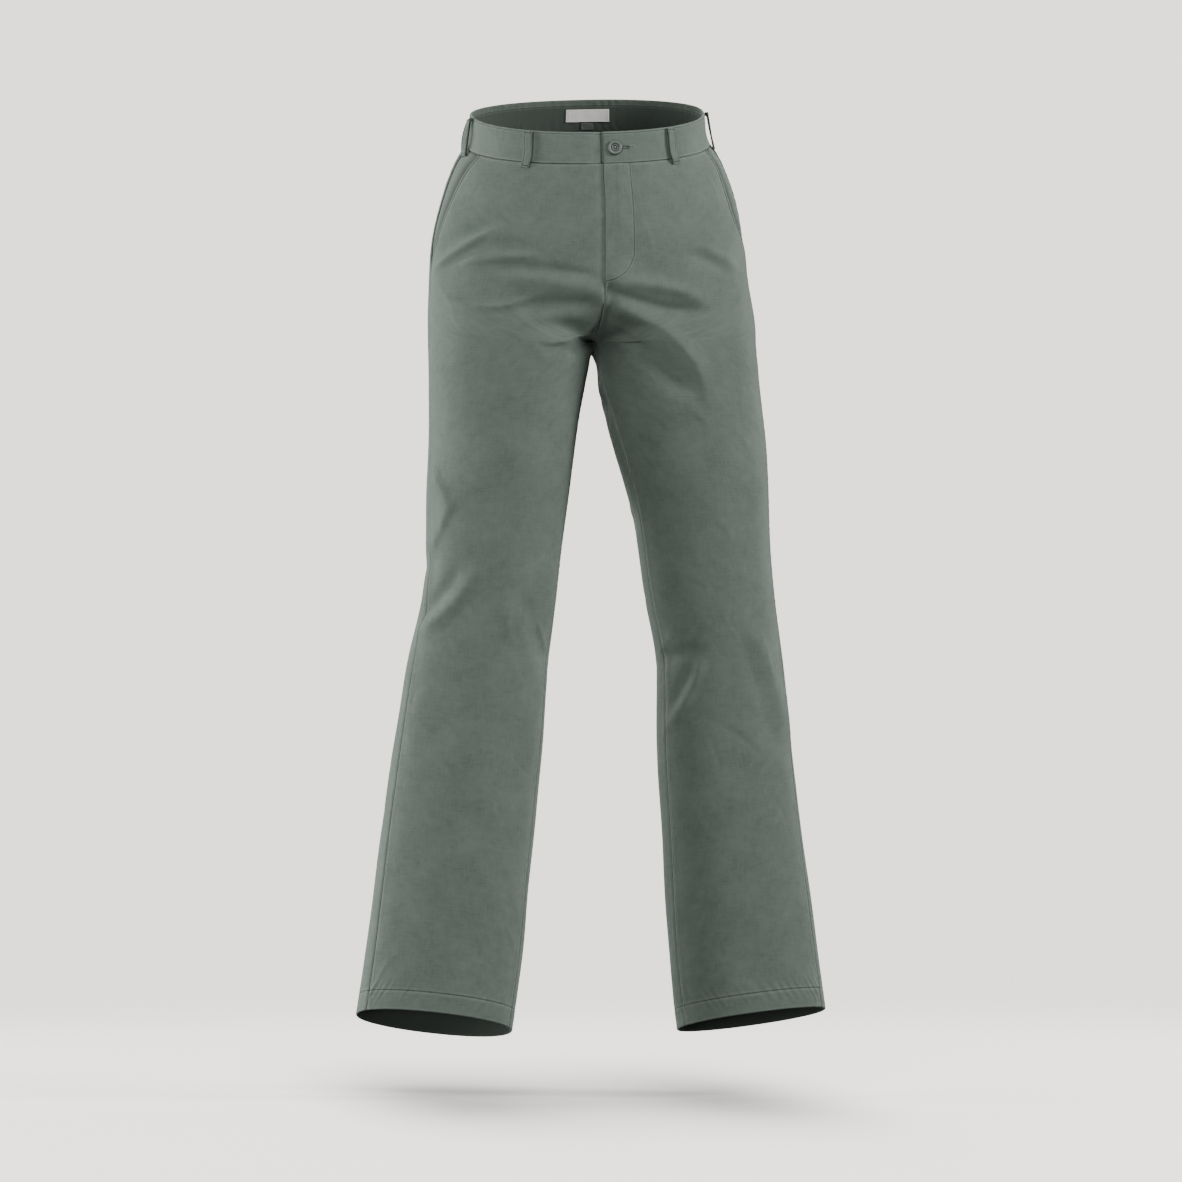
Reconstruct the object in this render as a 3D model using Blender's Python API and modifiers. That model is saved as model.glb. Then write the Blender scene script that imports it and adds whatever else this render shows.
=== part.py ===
"""Straight-leg dress trousers, filled out as if worn: open at the waist and at both hems.

Metres, +Z up, the front faces -Y, the wearer's left is +X. The origin is the middle of the waist opening.
Every piece is cloth on one form: rings that are one oval round the hips, pinch together towards the
crotch and are two separate ovals down the legs.
"""

import math

import bmesh
import bpy
import numpy as np
from mathutils import Matrix, Vector

MM = 0.001

# Cloth
WALL = 1.3 * MM                # one layer of twill
HEM_WALL = 2.6 * MM            # the hem is turned up, so the wall is double
BAND_WALL = 3.0 * MM           # waistband: two layers with stiffening between
GAP = 0.3 * MM                 # between pieces that meet or lie on each other
SEAM_TRIM = 0.16 * MM          # each panel stops this far short of a seam

# Heights below the waist opening
BAND_HEIGHT = 36 * MM
CROTCH_DROP = 264 * MM
HEM_DROP = 1052 * MM           # at the middle of the hem
HEM_DEPTH = 24 * MM
FLY_DROP = 193 * MM            # the fly's stitching ends here
MOUTH_DROP = 185 * MM          # the pocket mouths end at the side seam here

# Fly and waistband lap: the wearer's left laps over the right
FLY_WIDTH = 31 * MM
FLY_LIFT = 1.5 * MM            # the lap stands this far out at its edge
FLY_DIP = 0.8 * MM             # and the side under it lies this far in
DIP_WIDTH = 12 * MM
LAP_FULL = -185 * MM           # above this height the lap stands at its full height
LAP_NONE = -215 * MM           # below this one it is gone
SHIELD_SIDES = (-9 * MM, 36 * MM)   # the fly shield reaches this far to either side of the centre
SHIELD_TAIL = 8 * MM           # and this far below the fly
BAND_LIFT = 0.8 * MM           # the waistband stands proud of the panels
BAND_UNDERLAP = 35 * MM
BAND_RAMP = 24 * MM            # length over which the underlap comes out from under the lap

LOOP_WIDTH = 11 * MM
LOOP_WALL = 1.6 * MM
LOOP_BELOW_BAND = 12 * MM
LOOP_BULGE = 2.8 * MM
LOOP_PLACES = (                # name, degrees round from the front, and whether its foot lies on a facing
    ("front_right", -34, False),
    ("front_left", 34, False),
    ("side_right", -86, True),
    ("side_left", 86, True),
    ("back", 180, False),
)
# Its run down the band: how far below the top edge, share of the bulge, share of the step off the band
LOOP_RUN = (
    (1.5, 0, 0), (4, 0.6, 0), (10, 1.0, 0), (20, 1.0, 0), (31, 0.9, 0),
    (40, 0.5, 0.3), (44, 0, 0.8), (48, 0, 1),
)

BUTTON_FROM_LAP = 13 * MM
BUTTON_STEPS = 22
# The turned face's radius and height in mm, from its middle out over the rim and back along the underside
BUTTON_PROFILE = (
    (0.0, 2.3), (1.0, 2.1), (1.7, 1.5), (2.6, 1.5), (3.4, 2.2), (5.2, 2.2), (6.0, 1.8), (6.8, 2.9),
    (7.8, 3.2), (8.6, 2.6), (8.75, 1.6), (8.0, 0.6), (5.0, 0.0), (0.0, 0.0),
)

LABEL_WIDTH, LABEL_HEIGHT = 50 * MM, 14.5 * MM
LABEL_BELOW_EDGE = 10 * MM
LABEL_SHIFT = 11 * MM          # it is sewn a little to the wearer's left of the centre back
TAB_WIDTH, TAB_HEIGHT = 14 * MM, 7 * MM
TAB_BELOW_LABEL = 1.5 * MM
LABEL_WALL = 1.0 * MM

# Widths and folds are given as seen from a point turned this far from the front, to the wearer's right
SEEN_FROM = math.radians(8)

# Sections of the garment, in mm and degrees. outer and inner: the outline's two sides, as seen. front and
# back: the cloth's reach along Y. widest: the Y at which it is widest. roll: the outer side is raised.
# pitch: the back is raised. outseam, inseam: where the seams lie, in degrees round the oval from the front.
SECTION_COLUMNS = ("z", "outer", "inner", "front", "back", "widest", "roll", "pitch", "outseam", "inseam")
HIP_COLUMNS = ("z", "right", "left", "middle", "front", "back", "widest", "pitch")
HIP_SECTIONS = (
    (14, -133, 130, 16, -104, 103, 22, 13),
    (0, -136, 133, 17, -105, 105, 20, 13),
    (-36, -142, 140, 18, -109, 110, 15, 13),
    (-48, -150, 149, 18, -110, 113, 13, 12),
    (-66, -159, 159, 19, -112, 117, 10, 11),
    (-100, -170, 172, 20, -115, 124, 5, 9),
    (-150, -181, 181, 20, -117, 132, 0, 5),
    (-200, -183, 187, 20, -117, 135, -5, 2),
    (-235, -184, 192, 18, -116, 132, -9, 1),
)
RIGHT_LEG_SECTIONS = (
    (-264, -184, 4, -114, 124, -12, 0, 0, 90, -90),
    (-302, -183, -2, -106, 108, -14, 1, 0, 88, -84),
    (-331, -183, -8, -102, 97, -13, 1, 0, 86, -80),
    (-390, -184, -17, -97, 80, -12, 2, 0, 83, -77),
    (-448, -187, -25, -91, 69, -12, 3, 0, 80, -75),
    (-506, -187, -32, -86, 61, -13, 4, 0, 77, -73),
    (-564, -192, -38, -82, 54, -14, 5, 0, 74, -71),
    (-622, -204, -46, -79, 49, -15, 6, -1, 72, -70),
    (-680, -215, -50, -77, 46, -15, 7, -2, 70, -69),
    (-738, -224, -55, -75, 45, -15, 7, -3, 69, -69),
    (-855, -241, -66, -73, 44, -15, 7, -6, 67, -68),
    (-971, -256, -77, -72, 43, -15, 7, -11, 65, -68),
    (-1052, -268, -88, -72, 43, -15, 7, -14, 64, -68),
)
LEFT_LEG_SECTIONS = (
    (-264, 194, 4, -114, 124, -12, 0, 0, 90, -90),
    (-302, 197, 12, -105, 109, -13, 1, 0, 88, -82),
    (-331, 200, 18, -100, 99, -11, 1, 0, 86, -76),
    (-390, 206, 33, -94, 84, -8, 2, 0, 83, -70),
    (-448, 209, 49, -86, 74, -4, 3, 0, 80, -70),
    (-506, 211, 60, -78, 68, -2, 4, 0, 77, -72),
    (-564, 216, 68, -71, 65, 0, 5, 0, 74, -70),
    (-622, 223, 79, -65, 63, 2, 6, 0, 72, -68),
    (-680, 230, 80, -60, 63, 4, 7, -1, 70, -66),
    (-738, 236, 81, -56, 64, 7, 7, -2, 69, -66),
    (-855, 250, 88, -49, 68, 11, 7, -5, 67, -67),
    (-971, 266, 95, -43, 72, 15, 7, -9, 65, -68),
    (-1052, 277, 104, -41, 74, 17, 7, -11, 64, -68),
)

# On the crotch seam the hip oval pinches into two from these heights down to the crotch, in a quarter round.
# Away from the seam it turns into the legs' ovals more slowly, between the two split heights.
PINCH_FRONT, PINCH_BACK = -188 * MM, -120 * MM
SPLIT_TOP, SPLIT_BOTTOM = -120 * MM, -350 * MM
SPLIT_REACH = 0.6              # share of the way to the side seam over which the seam's own turn fades
DIP_REACH = 0.5
HIP_POWER, LEG_POWER = 2.2, 2.15    # 2 is an ellipse, more is squarer
WAIST_LEAN = 0.032             # the waist rises this much to the wearer's left for each metre across

# The slant pocket's mouth, in degrees round the oval from the front at each height in mm
MOUTH_LINE = ((-36, 65), (-66, 69), (-100, 72.5), (-130, 77), (-160, 83.5), (-185, 90))

# Largest folds on the front, in mm as seen: from (x1, z1) to (x2, z2), bowed sideways by bow,
# each this wide to either side and this high (a trough is negative).
FOLD_COLUMNS = ("x1", "z1", "x2", "z2", "bow", "width", "height")
FOLDS = (
    # wearer's right hip, from the end of the pocket towards the fly
    (-169, -170, -104, -132, -4, 10, -2.6),
    (-176, -186, -108, -146, 5, 9, 2.6),
    (-146, -174, -66, -160, 9, 10, -2.8),
    (-150, -184, -64, -170, 3, 9, 2.0),
    (-104, -180, 4, -198, -3, 11, -3.0),
    (-130, -208, 10, -212, 2, 15, 2.4),
    (-62, -226, 6, -232, 3, 12, -3.2),
    (-62, -284, 10, -246, 5, 11, 2.2),
    # wearer's left, from the crotch up over the thigh
    (118, -166, 164, -188, 2, 10, -2.2),
    (44, -196, 142, -222, -4, 12, 2.8),
    (34, -214, 140, -244, -5, 12, -4.2),
    (26, -230, 140, -328, 8, 16, 4.6),
    (50, -266, 124, -334, 6, 17, -4.6),
    # knees
    (-156, -455, -184, -520, -3, 13, 2.2),
    (-152, -540, -196, -580, -3, 15, -3.0),
    (-132, -532, -192, -614, -3, 14, 2.8),
    (-74, -576, -54, -640, 2, 13, -2.2),
    (114, -640, 120, -612, 0, 16, -2.4),
    (132, -642, 94, -706, -3, 14, 2.4),
    (202, -628, 228, -690, 3, 13, 2.0),
)

# Mesh columns of each panel, and how far in from an edge the extra column beside it lies
FRONT_COLUMNS, BACK_COLUMNS = 14, 10
EDGE_SHARE = 0.012
# Mesh rows from the waistband to the fly's foot, round the crotch hook, down the thigh and down the leg
HIP_ROWS, HOOK_ROWS, THIGH_ROWS, LEG_ROWS = 10, 8, 7, 17
THIGH_STEPS = 9 * MM, 24 * MM       # the thigh's first and last row spacing
HEM_ROWS = 3                   # the last rows have the doubled wall
FACING_TAIL = 15 * MM          # the pocket facing reaches this far below the mouth
FACING_UNDER = 4, 3            # and this many columns under the front and the back panel
BAND_COLUMNS = {"under": 6, "rising": 7, "round_back": 36, "home": 39}

SIDES = {"right": -1, "left": 1}


def as_dicts(columns, rows):
    return [dict(zip(columns, row)) for row in rows]


def in_local_x(seen, y):
    """The x of a point that is seen this far across, at depth y."""
    return (seen + y * math.sin(SEEN_FROM)) / math.cos(SEEN_FROM)


def seen_across(points):
    return points[..., 0] * math.cos(SEEN_FROM) - points[..., 1] * math.sin(SEEN_FROM)


def sections_of(side):
    """The sections of one half from the top down, hips and leg in one list, with the leg's columns."""
    found = []
    for row in as_dicts(HIP_COLUMNS, HIP_SECTIONS):
        found.append({
            "z": row["z"], "outer": row[side], "inner": row["middle"], "front": row["front"],
            "back": row["back"], "widest": row["widest"], "roll": 0, "pitch": row["pitch"],
            "outseam": 90, "inseam": -90, "inner_depth": row["front"],
        })
    legs = RIGHT_LEG_SECTIONS if side == "right" else LEFT_LEG_SECTIONS
    for row in as_dicts(SECTION_COLUMNS, legs):
        found.append({**row, "inner_depth": row["widest"]})
    for row in found:
        row["outer"] = in_local_x(row["outer"], row["widest"])
        row["inner"] = in_local_x(row["inner"], row["inner_depth"])
    return found


def spline(heights, values):
    """A natural cubic spline through the values, as a function of height. Both lists run downwards."""
    x, y = np.array(heights[::-1], float), np.array(values[::-1], float)
    step = np.diff(x)
    slope = np.diff(y) / step
    matrix, bend = np.eye(len(x)), np.zeros(len(x))
    for i in range(1, len(x) - 1):
        matrix[i, i - 1:i + 2] = step[i - 1], 2 * (step[i - 1] + step[i]), step[i]
        bend[i] = 6 * (slope[i] - slope[i - 1])
    curve = np.linalg.solve(matrix, bend)

    def at(z):
        z = np.clip(z, x[0], x[-1])
        i = np.clip(np.searchsorted(x, z) - 1, 0, len(step) - 1)
        a, b, h = x[i + 1] - z, z - x[i], step[i]
        ends = (curve[i] * a**3 + curve[i + 1] * b**3) / (6 * h)
        return ends + (y[i] / h - curve[i] * h / 6) * a + (y[i + 1] / h - curve[i + 1] * h / 6) * b

    return at


def splines_of(side):
    rows = sections_of(side)
    heights = [row["z"] * MM for row in rows]
    scale = {"outer": MM, "inner": MM, "front": MM, "back": MM, "widest": MM}
    names = [name for name in rows[0] if name not in ("z", "inner_depth")]
    return {name: spline(heights, [row[name] * scale.get(name, 1) for row in rows]) for name in names}


SPLINES = {side: splines_of(side) for side in SIDES}
OWN = ("outer", "outseam")     # above the crotch the two halves share all but these


def values_at(side, z):
    """The section's values at a height."""
    values = {name: at(z) for name, at in SPLINES[side].items()}
    for name in values:
        if name not in OWN:
            shared = (SPLINES["right"][name](z) + SPLINES["left"][name](z)) / 2
            values[name] = np.where(z > -CROTCH_DROP, shared, values[name])
    return values


def smoothstep(low, high, value):
    t = np.clip((value - low) / (high - low), 0, 1)
    return t * t * (3 - 2 * t)


def split_share(t, z):
    """How far the section has split from one hip oval into two leg ovals, and how much lower the cloth lies
    near the crotch seam than the height of its row."""
    start = np.where(t < 1, PINCH_FRONT, PINCH_BACK)
    tall = start + CROTCH_DROP
    turn = np.clip((start - z) / tall, 0, 1)
    from_seam = np.minimum(t, 2 - t)
    at_seam = 1 - np.cos(turn * math.pi / 2)
    slow = smoothstep(SPLIT_TOP, SPLIT_BOTTOM, z)
    share = at_seam + smoothstep(0, SPLIT_REACH, from_seam) * (slow - at_seam)
    dip = tall * (np.sin(turn * math.pi / 2) - turn) * smoothstep(DIP_REACH, 0, from_seam)
    return share, dip


def oval(angle, power):
    """sin and cos of the angle, drawn out towards a rounded square."""
    s, c = np.sin(angle), np.cos(angle)
    return np.sign(s) * np.abs(s)**(2 / power), np.sign(c) * np.abs(c)**(2 / power)


def form(side, t, z):
    """Points of the bare form. t runs from 0 at the centre front or inseam, over 1 at the side seam, to 2 at
    the centre back or inseam. z is the height of the section's middle."""
    t, z = np.broadcast_arrays(np.asarray(t, float), np.asarray(z, float))
    v = values_at(side, z)
    out, back = np.radians(v["outseam"]), np.clip(t - 1, 0, 1)
    hip_angle = np.where(t < 1, t * out, out + back * (math.pi - out))
    inseam = np.radians(v["inseam"])
    leg_angle = np.where(t < 1, inseam + t * (out - inseam), out + back * (2 * math.pi + inseam - out))
    depth_front, depth_back = v["widest"] - v["front"], v["back"] - v["widest"]

    def section(angle, centre, half, power):
        s, c = oval(angle, power)
        return centre + half * s, v["widest"] - np.where(c > 0, depth_front, depth_back) * c

    hip_x, hip_y = section(hip_angle, v["inner"], v["outer"] - v["inner"], HIP_POWER)
    middle, half = (v["inner"] + v["outer"]) / 2, (v["outer"] - v["inner"]) / 2
    leg_x, leg_y = section(leg_angle, middle, half, LEG_POWER)
    share, dip = split_share(t, z)
    x = hip_x + share * (leg_x - hip_x + SIDES[side] * SEAM_TRIM)
    y = hip_y + share * (leg_y - hip_y)
    raised = np.abs(x - v["inner"]) - np.abs(v["outer"] - v["inner"]) / 2
    level = v["widest"] * smoothstep(SPLIT_TOP, SPLIT_BOTTOM, z)
    tilt = np.tan(np.radians(v["roll"])) * raised + np.tan(np.radians(v["pitch"])) * (y - level)
    lean = WAIST_LEAN * x * smoothstep(-150 * MM, -BAND_HEIGHT, z)
    return np.stack([x, y, z - dip + tilt + lean], axis=-1)


def outward(side, t, z):
    """Unit normals of the bare form, pointing out of the garment."""
    dt, dz = 1e-3, 0.5 * MM
    along = form(side, np.clip(t + dt, 0, 2), z) - form(side, np.clip(t - dt, 0, 2), z)
    down = form(side, t, z - dz) - form(side, t, z + dz)
    normal = np.cross(down, along) * SIDES[side]
    return normal / np.linalg.norm(normal, axis=-1, keepdims=True)


def fold_height(points, normals):
    """How far the folds lift the front of the cloth at each point."""
    across, z = seen_across(points), points[..., 2]
    total = np.zeros(across.shape)
    for fold in as_dicts(FOLD_COLUMNS, FOLDS):
        start = np.array([fold["x1"], fold["z1"]]) * MM
        run = np.array([fold["x2"], fold["z2"]]) * MM - start
        length = np.linalg.norm(run)
        run /= length
        off = np.stack([across, z], axis=-1) - start
        s = off @ run / length
        away = off @ np.array([-run[1], run[0]]) - fold["bow"] * MM * 4 * s * (1 - s)
        ends = smoothstep(-0.25, 0.25, s) * smoothstep(1.25, 0.75, s)
        total += fold["height"] * MM * ends * np.exp(-(away / (fold["width"] * MM))**2)
    return total * smoothstep(-0.05, 0.45, -normals[..., 1])


def arc_from_front(side, t, z):
    """Distance across from the centre front seam, at the same height."""
    centre = form(side, np.zeros(np.shape(t)), z)
    return np.linalg.norm(form(side, t, z) - centre, axis=-1)


def lap_height(side, t, z):
    """The fly's lap: the left edge stands out over the right."""
    arc = arc_from_front(side, t, z)
    tall = smoothstep(LAP_NONE, LAP_FULL, z) * np.where(t < 1, 1, 0)
    if side == "left":
        return FLY_LIFT * tall * smoothstep(1.1 * FLY_WIDTH, 0.6 * FLY_WIDTH, arc)
    return -FLY_DIP * tall * smoothstep(DIP_WIDTH, DIP_WIDTH / 4, arc)


def mouth_t(z):
    """Where the pocket mouth crosses this height, as a share of the front panel's width."""
    heights, angles = zip(*MOUTH_LINE)
    return np.interp(z, [h * MM for h in heights[::-1]], [a / 90 for a in angles[::-1]])


def cloth(side, t, z, lift=0.0, folds=True, lap=True):
    """Points of the cloth's outer face, lift metres out from it."""
    t, z = np.broadcast_arrays(np.asarray(t, float), np.asarray(z, float))
    points, normals = form(side, t, z), outward(side, t, z)
    height = np.asarray(lift, float) + np.zeros(t.shape)
    if folds:
        height = height + fold_height(points, normals)
    if lap:
        height = height + lap_height(side, t, z)
    points = points + normals * height[..., None]
    seam = values_at(side, z)["inner"] + SIDES[side] * SEAM_TRIM
    own_side = np.maximum(SIDES[side] * points[..., 0], SIDES[side] * seam) * SIDES[side]
    points[..., 0] = np.where(z >= -CROTCH_DROP, own_side, points[..., 0])
    return points


def row_heights():
    """Heights of the panels' rows, close together over the hips and the crotch."""
    top, crotch = -BAND_HEIGHT - GAP, -CROTCH_DROP
    hips = np.linspace(top, PINCH_FRONT, HIP_ROWS + 1)[:-1]
    hook = np.linspace(PINCH_FRONT, crotch, HOOK_ROWS + 1)
    thigh = crotch - np.cumsum(np.linspace(*THIGH_STEPS, THIGH_ROWS))
    stitch = -HEM_DROP + HEM_DEPTH
    leg = np.linspace(thigh[-1], stitch, LEG_ROWS + 1)[1:]
    hem = -HEM_DROP + HEM_DEPTH * np.array([0.92, 0.25, 0])
    return np.concatenate([hips, hook, thigh, leg, hem])


def panel_shares(columns):
    """Where a panel's columns lie across it: even, with one more close to each edge, so that the wall stands
    square to the form at the seams."""
    inner = np.linspace(0, 1, columns + 1)[1:-1]
    return np.concatenate([[0, EDGE_SHARE], inner, [1 - EDGE_SHARE, 1]])


def trimmed(points):
    """The same grid with its two upright edges drawn in by the seam's trim."""
    points = points.copy()
    for edge, beside in ((0, 1), (-1, -2)):
        along = points[:, beside] - points[:, edge]
        points[:, edge] += along / np.linalg.norm(along, axis=-1, keepdims=True) * SEAM_TRIM
    return points


def material(name, colour, roughness):
    made = bpy.data.materials.new(name)
    made.use_nodes = True
    shader = made.node_tree.nodes["Principled BSDF"]
    shader.inputs["Base Color"].default_value = (*colour, 1)
    shader.inputs["Roughness"].default_value = roughness
    return made


def sheet_object(name, points, wall, finish, clockwise, outside=-1, thick_rows=0, base_share=1.0):
    """A wall of cloth from a grid of points, rows by columns. clockwise says which way round the body the
    columns run, seen from above. outside is -1 where the grid is the outer face and the wall grows inward, 1
    where it grows outward. The last thick_rows rows take the whole wall, the rest take base_share of it."""
    rows, columns = points.shape[:2]
    mesh = bpy.data.meshes.new(name)
    grid = bmesh.new()
    verts = [[grid.verts.new(points[i, j]) for j in range(columns)] for i in range(rows)]
    for i in range(rows - 1):
        for j in range(columns - 1):
            grid.faces.new((verts[i][j], verts[i + 1][j], verts[i + 1][j + 1], verts[i][j + 1]))
    if clockwise:
        bmesh.ops.reverse_faces(grid, faces=grid.faces[:])
    grid.to_mesh(mesh)
    grid.free()
    mesh.shade_smooth()
    mesh.materials.append(finish)
    made = bpy.data.objects.new(name, mesh)
    bpy.data.collections["Trousers"].objects.link(made)
    solid = made.modifiers.new("Wall", "SOLIDIFY")
    solid.thickness = wall
    solid.offset = outside
    solid.use_even_offset = False
    solid.use_quality_normals = True
    if thick_rows:
        group = made.vertex_groups.new(name="Doubled")
        group.add(list(range((rows - thick_rows) * columns, rows * columns)), 1.0, "REPLACE")
        solid.vertex_group = group.name
        solid.thickness_vertex_group = base_share
    return made


def build_panel(side, face, finish):
    """One of the four leg panels, from the waistband down to the hem."""
    heights = row_heights()
    if face == "front":
        t = panel_shares(FRONT_COLUMNS)[None, :] * mouth_t(heights)[:, None]
    else:
        t = 1 + np.repeat(panel_shares(BACK_COLUMNS)[None, :], len(heights), axis=0)
    points = trimmed(cloth(side, t, heights[:, None]))
    sheet_object(f"{face}_{side}", points, HEM_WALL, finish, side == "right",
                 thick_rows=HEM_ROWS, base_share=WALL / HEM_WALL)


def build_pocket_facing(side, finish):
    """The hip piece that shows beyond the slant mouth. It tucks under the front and the back panel."""
    heights = row_heights()
    heights = heights[heights > -MOUTH_DROP - FACING_TAIL]
    mouth = mouth_t(heights)[:, None]
    at_front, at_back = FACING_UNDER
    under_front = panel_shares(FRONT_COLUMNS)[-at_front:] * mouth
    between = mouth + np.linspace(0, 1, 4)[1:-1] * (1 - mouth)
    under_back = 1 + panel_shares(BACK_COLUMNS)[:at_back] + 0 * mouth
    t = np.concatenate([under_front, between, under_back], axis=1)
    points = cloth(side, t, heights[:, None], lift=-(WALL + GAP))
    sheet_object(f"pocket_facing_{side}", points, WALL, finish, side == "right")


def across(arc, z, at_back=False):
    """(side, t) of a point this far from the centre seam, front or back, positive to the wearer's left."""
    side = "left" if arc >= 0 else "right"
    shares = np.linspace(0, 0.5, 200)
    t = 2 - shares if at_back else shares
    run = form(side, t, np.full(200, z))
    away = np.linalg.norm(run - run[0], axis=-1)
    return side, float(np.interp(abs(arc), away, t))


def degrees_round(arc, at_back=False):
    """An arc on the waist, from the centre seam, as degrees round the oval from the centre front."""
    side, t = across(arc, -BAND_HEIGHT / 2, at_back)
    return SIDES[side] * 90 * t


def build_fly_shield(finish):
    """The shield behind the fly, sewn to the wearer's right front."""
    heights = row_heights()
    heights = heights[heights > -FLY_DROP - SHIELD_TAIL]
    points = []
    for z in heights:
        row = []
        for arc in np.linspace(*SHIELD_SIDES, 8):
            side, t = across(arc, z)
            row.append(cloth(side, t, z, lift=-(FLY_DIP + WALL + GAP), lap=False))
        points.append(row)
    sheet_object("fly_shield", np.array(points), WALL, finish, False)


def band_points(angles, heights, lift):
    """A grid on the waist oval. angles run round from the centre front, positive to the wearer's left."""
    grid = []
    for z in heights:
        row = []
        for angle, out in zip((angles + 180) % 360 - 180, lift):
            side = "left" if angle >= 0 else "right"
            row.append(cloth(side, abs(angle) / 90, z, lift=out, folds=False, lap=False))
        grid.append(row)
    return np.array(grid)


def build_waistband(finish):
    """One strip that starts under the lap, goes round by the wearer's right and the back, and ends on top."""
    start, ramp = degrees_round(BAND_UNDERLAP), degrees_round(BAND_RAMP)
    under = np.linspace(start, 0.6, BAND_COLUMNS["under"])
    rising = np.linspace(-0.6, -ramp, BAND_COLUMNS["rising"] + 1)[:-1]
    round_back = np.linspace(-ramp, -180, BAND_COLUMNS["round_back"])
    home = np.linspace(180, 0, BAND_COLUMNS["home"] + 1)[1:]
    angles = np.concatenate([under, rising, round_back, home])
    tucked = np.concatenate([
        np.ones(len(under)),
        1 - smoothstep(0, ramp, -rising),
        np.zeros(len(round_back) + len(home)),
    ])
    lift = BAND_LIFT - (BAND_WALL + GAP) * tucked
    heights = np.linspace(0, -BAND_HEIGHT, 3)
    sheet_object("waistband", band_points(angles, heights, lift), BAND_WALL, finish, True)


def build_belt_loop(name, angle, on_facing, finish):
    """A folded strip, sewn down at the band's top edge and below the band."""
    half = LOOP_WIDTH / 2
    side = "left" if angle >= 0 else "right"
    below, bulge, sunk = np.array(LOOP_RUN).T
    heights = -below / below[-1] * (BAND_HEIGHT + LOOP_BELOW_BAND)
    step = BAND_LIFT + (WALL + GAP if on_facing else 0)
    lift = BAND_LIFT + GAP + bulge * LOOP_BULGE - sunk * step
    points = []
    for z, out in zip(heights, lift):
        centre = cloth(side, abs(angle) / 90, z, lift=out)
        beside = cloth(side, abs(angle) / 90 - 0.02, z, lift=out)
        along = (beside - centre) / np.linalg.norm(beside - centre)
        points.append([centre + along * half * share for share in (-1, -0.4, 0.4, 1)])
    sheet_object(f"belt_loop_{name}", np.array(points), LOOP_WALL, finish, side == "left", outside=1)


def build_button(finish):
    """A turned button with a rim, a groove, an inner ring and a small dome where the thread sits."""
    mid = -BAND_HEIGHT / 2
    side, t = across(BUTTON_FROM_LAP, mid)
    seat = cloth(side, t, mid, lift=BAND_LIFT + GAP, folds=False, lap=False)
    normal = outward(side, np.array(t), np.array(mid))
    mesh = bpy.data.meshes.new("waist_button")
    outline = bmesh.new()
    verts = [outline.verts.new((radius * MM, 0, height * MM)) for radius, height in BUTTON_PROFILE]
    for a, b in zip(verts, verts[1:]):
        outline.edges.new((a, b))
    outline.to_mesh(mesh)
    outline.free()
    mesh.materials.append(finish)
    button = bpy.data.objects.new("waist_button", mesh)
    bpy.data.collections["Trousers"].objects.link(button)
    screw = button.modifiers.new("Turn", "SCREW")
    screw.steps = screw.render_steps = BUTTON_STEPS
    screw.use_merge_vertices = True
    screw.merge_threshold = 1e-5
    turned = Vector(normal).to_track_quat("Z", "Y").to_matrix().to_4x4()
    button.matrix_world = Matrix.Translation(Vector(seat)) @ turned


def build_label(name, width, height, below, finish):
    """A flat patch on the inside of the waistband at the back."""
    arcs = LABEL_SHIFT - np.linspace(-width / 2, width / 2, 7)
    angles = np.array([degrees_round(arc, at_back=True) for arc in arcs])
    heights = np.linspace(-below, -below - height, 3)
    lift = np.full(len(angles), BAND_LIFT - BAND_WALL - GAP)
    sheet_object(name, band_points(angles, heights, lift), LABEL_WALL, finish, False)


def main():
    for old in list(bpy.data.objects):
        bpy.data.objects.remove(old)
    trousers = bpy.data.collections.new("Trousers")
    bpy.context.scene.collection.children.link(trousers)
    twill = material("twill", (0.13, 0.17, 0.145), 0.85)
    button_plastic = material("button_plastic", (0.14, 0.18, 0.155), 0.4)
    label_satin = material("label_satin", (0.62, 0.6, 0.57), 0.6)
    tab_cloth = material("tab_cloth", (0.1, 0.12, 0.11), 0.8)
    for side in SIDES:
        build_panel(side, "front", twill)
        build_panel(side, "back", twill)
        build_pocket_facing(side, twill)
    build_fly_shield(twill)
    build_waistband(twill)
    for name, angle, on_facing in LOOP_PLACES:
        build_belt_loop(name, angle, on_facing, twill)
    build_button(button_plastic)
    build_label("label", LABEL_WIDTH, LABEL_HEIGHT, LABEL_BELOW_EDGE, label_satin)
    tab_top = LABEL_BELOW_EDGE + LABEL_HEIGHT + TAB_BELOW_LABEL
    build_label("size_tab", TAB_WIDTH, TAB_HEIGHT, tab_top, tab_cloth)


main()
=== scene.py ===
import math

import bpy
import numpy as np
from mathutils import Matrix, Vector


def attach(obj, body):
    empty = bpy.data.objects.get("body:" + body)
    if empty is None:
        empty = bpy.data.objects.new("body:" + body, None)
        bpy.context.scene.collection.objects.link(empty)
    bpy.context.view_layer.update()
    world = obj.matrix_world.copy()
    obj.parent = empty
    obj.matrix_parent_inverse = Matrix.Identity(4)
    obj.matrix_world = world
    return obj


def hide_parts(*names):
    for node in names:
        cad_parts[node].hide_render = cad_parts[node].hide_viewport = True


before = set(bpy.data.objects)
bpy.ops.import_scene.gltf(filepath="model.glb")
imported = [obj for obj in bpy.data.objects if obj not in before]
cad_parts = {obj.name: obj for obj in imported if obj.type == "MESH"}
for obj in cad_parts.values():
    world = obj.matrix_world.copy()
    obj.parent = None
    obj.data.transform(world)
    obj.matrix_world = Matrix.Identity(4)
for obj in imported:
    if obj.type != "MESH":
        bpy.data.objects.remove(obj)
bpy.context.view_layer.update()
mm = 0.001

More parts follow.
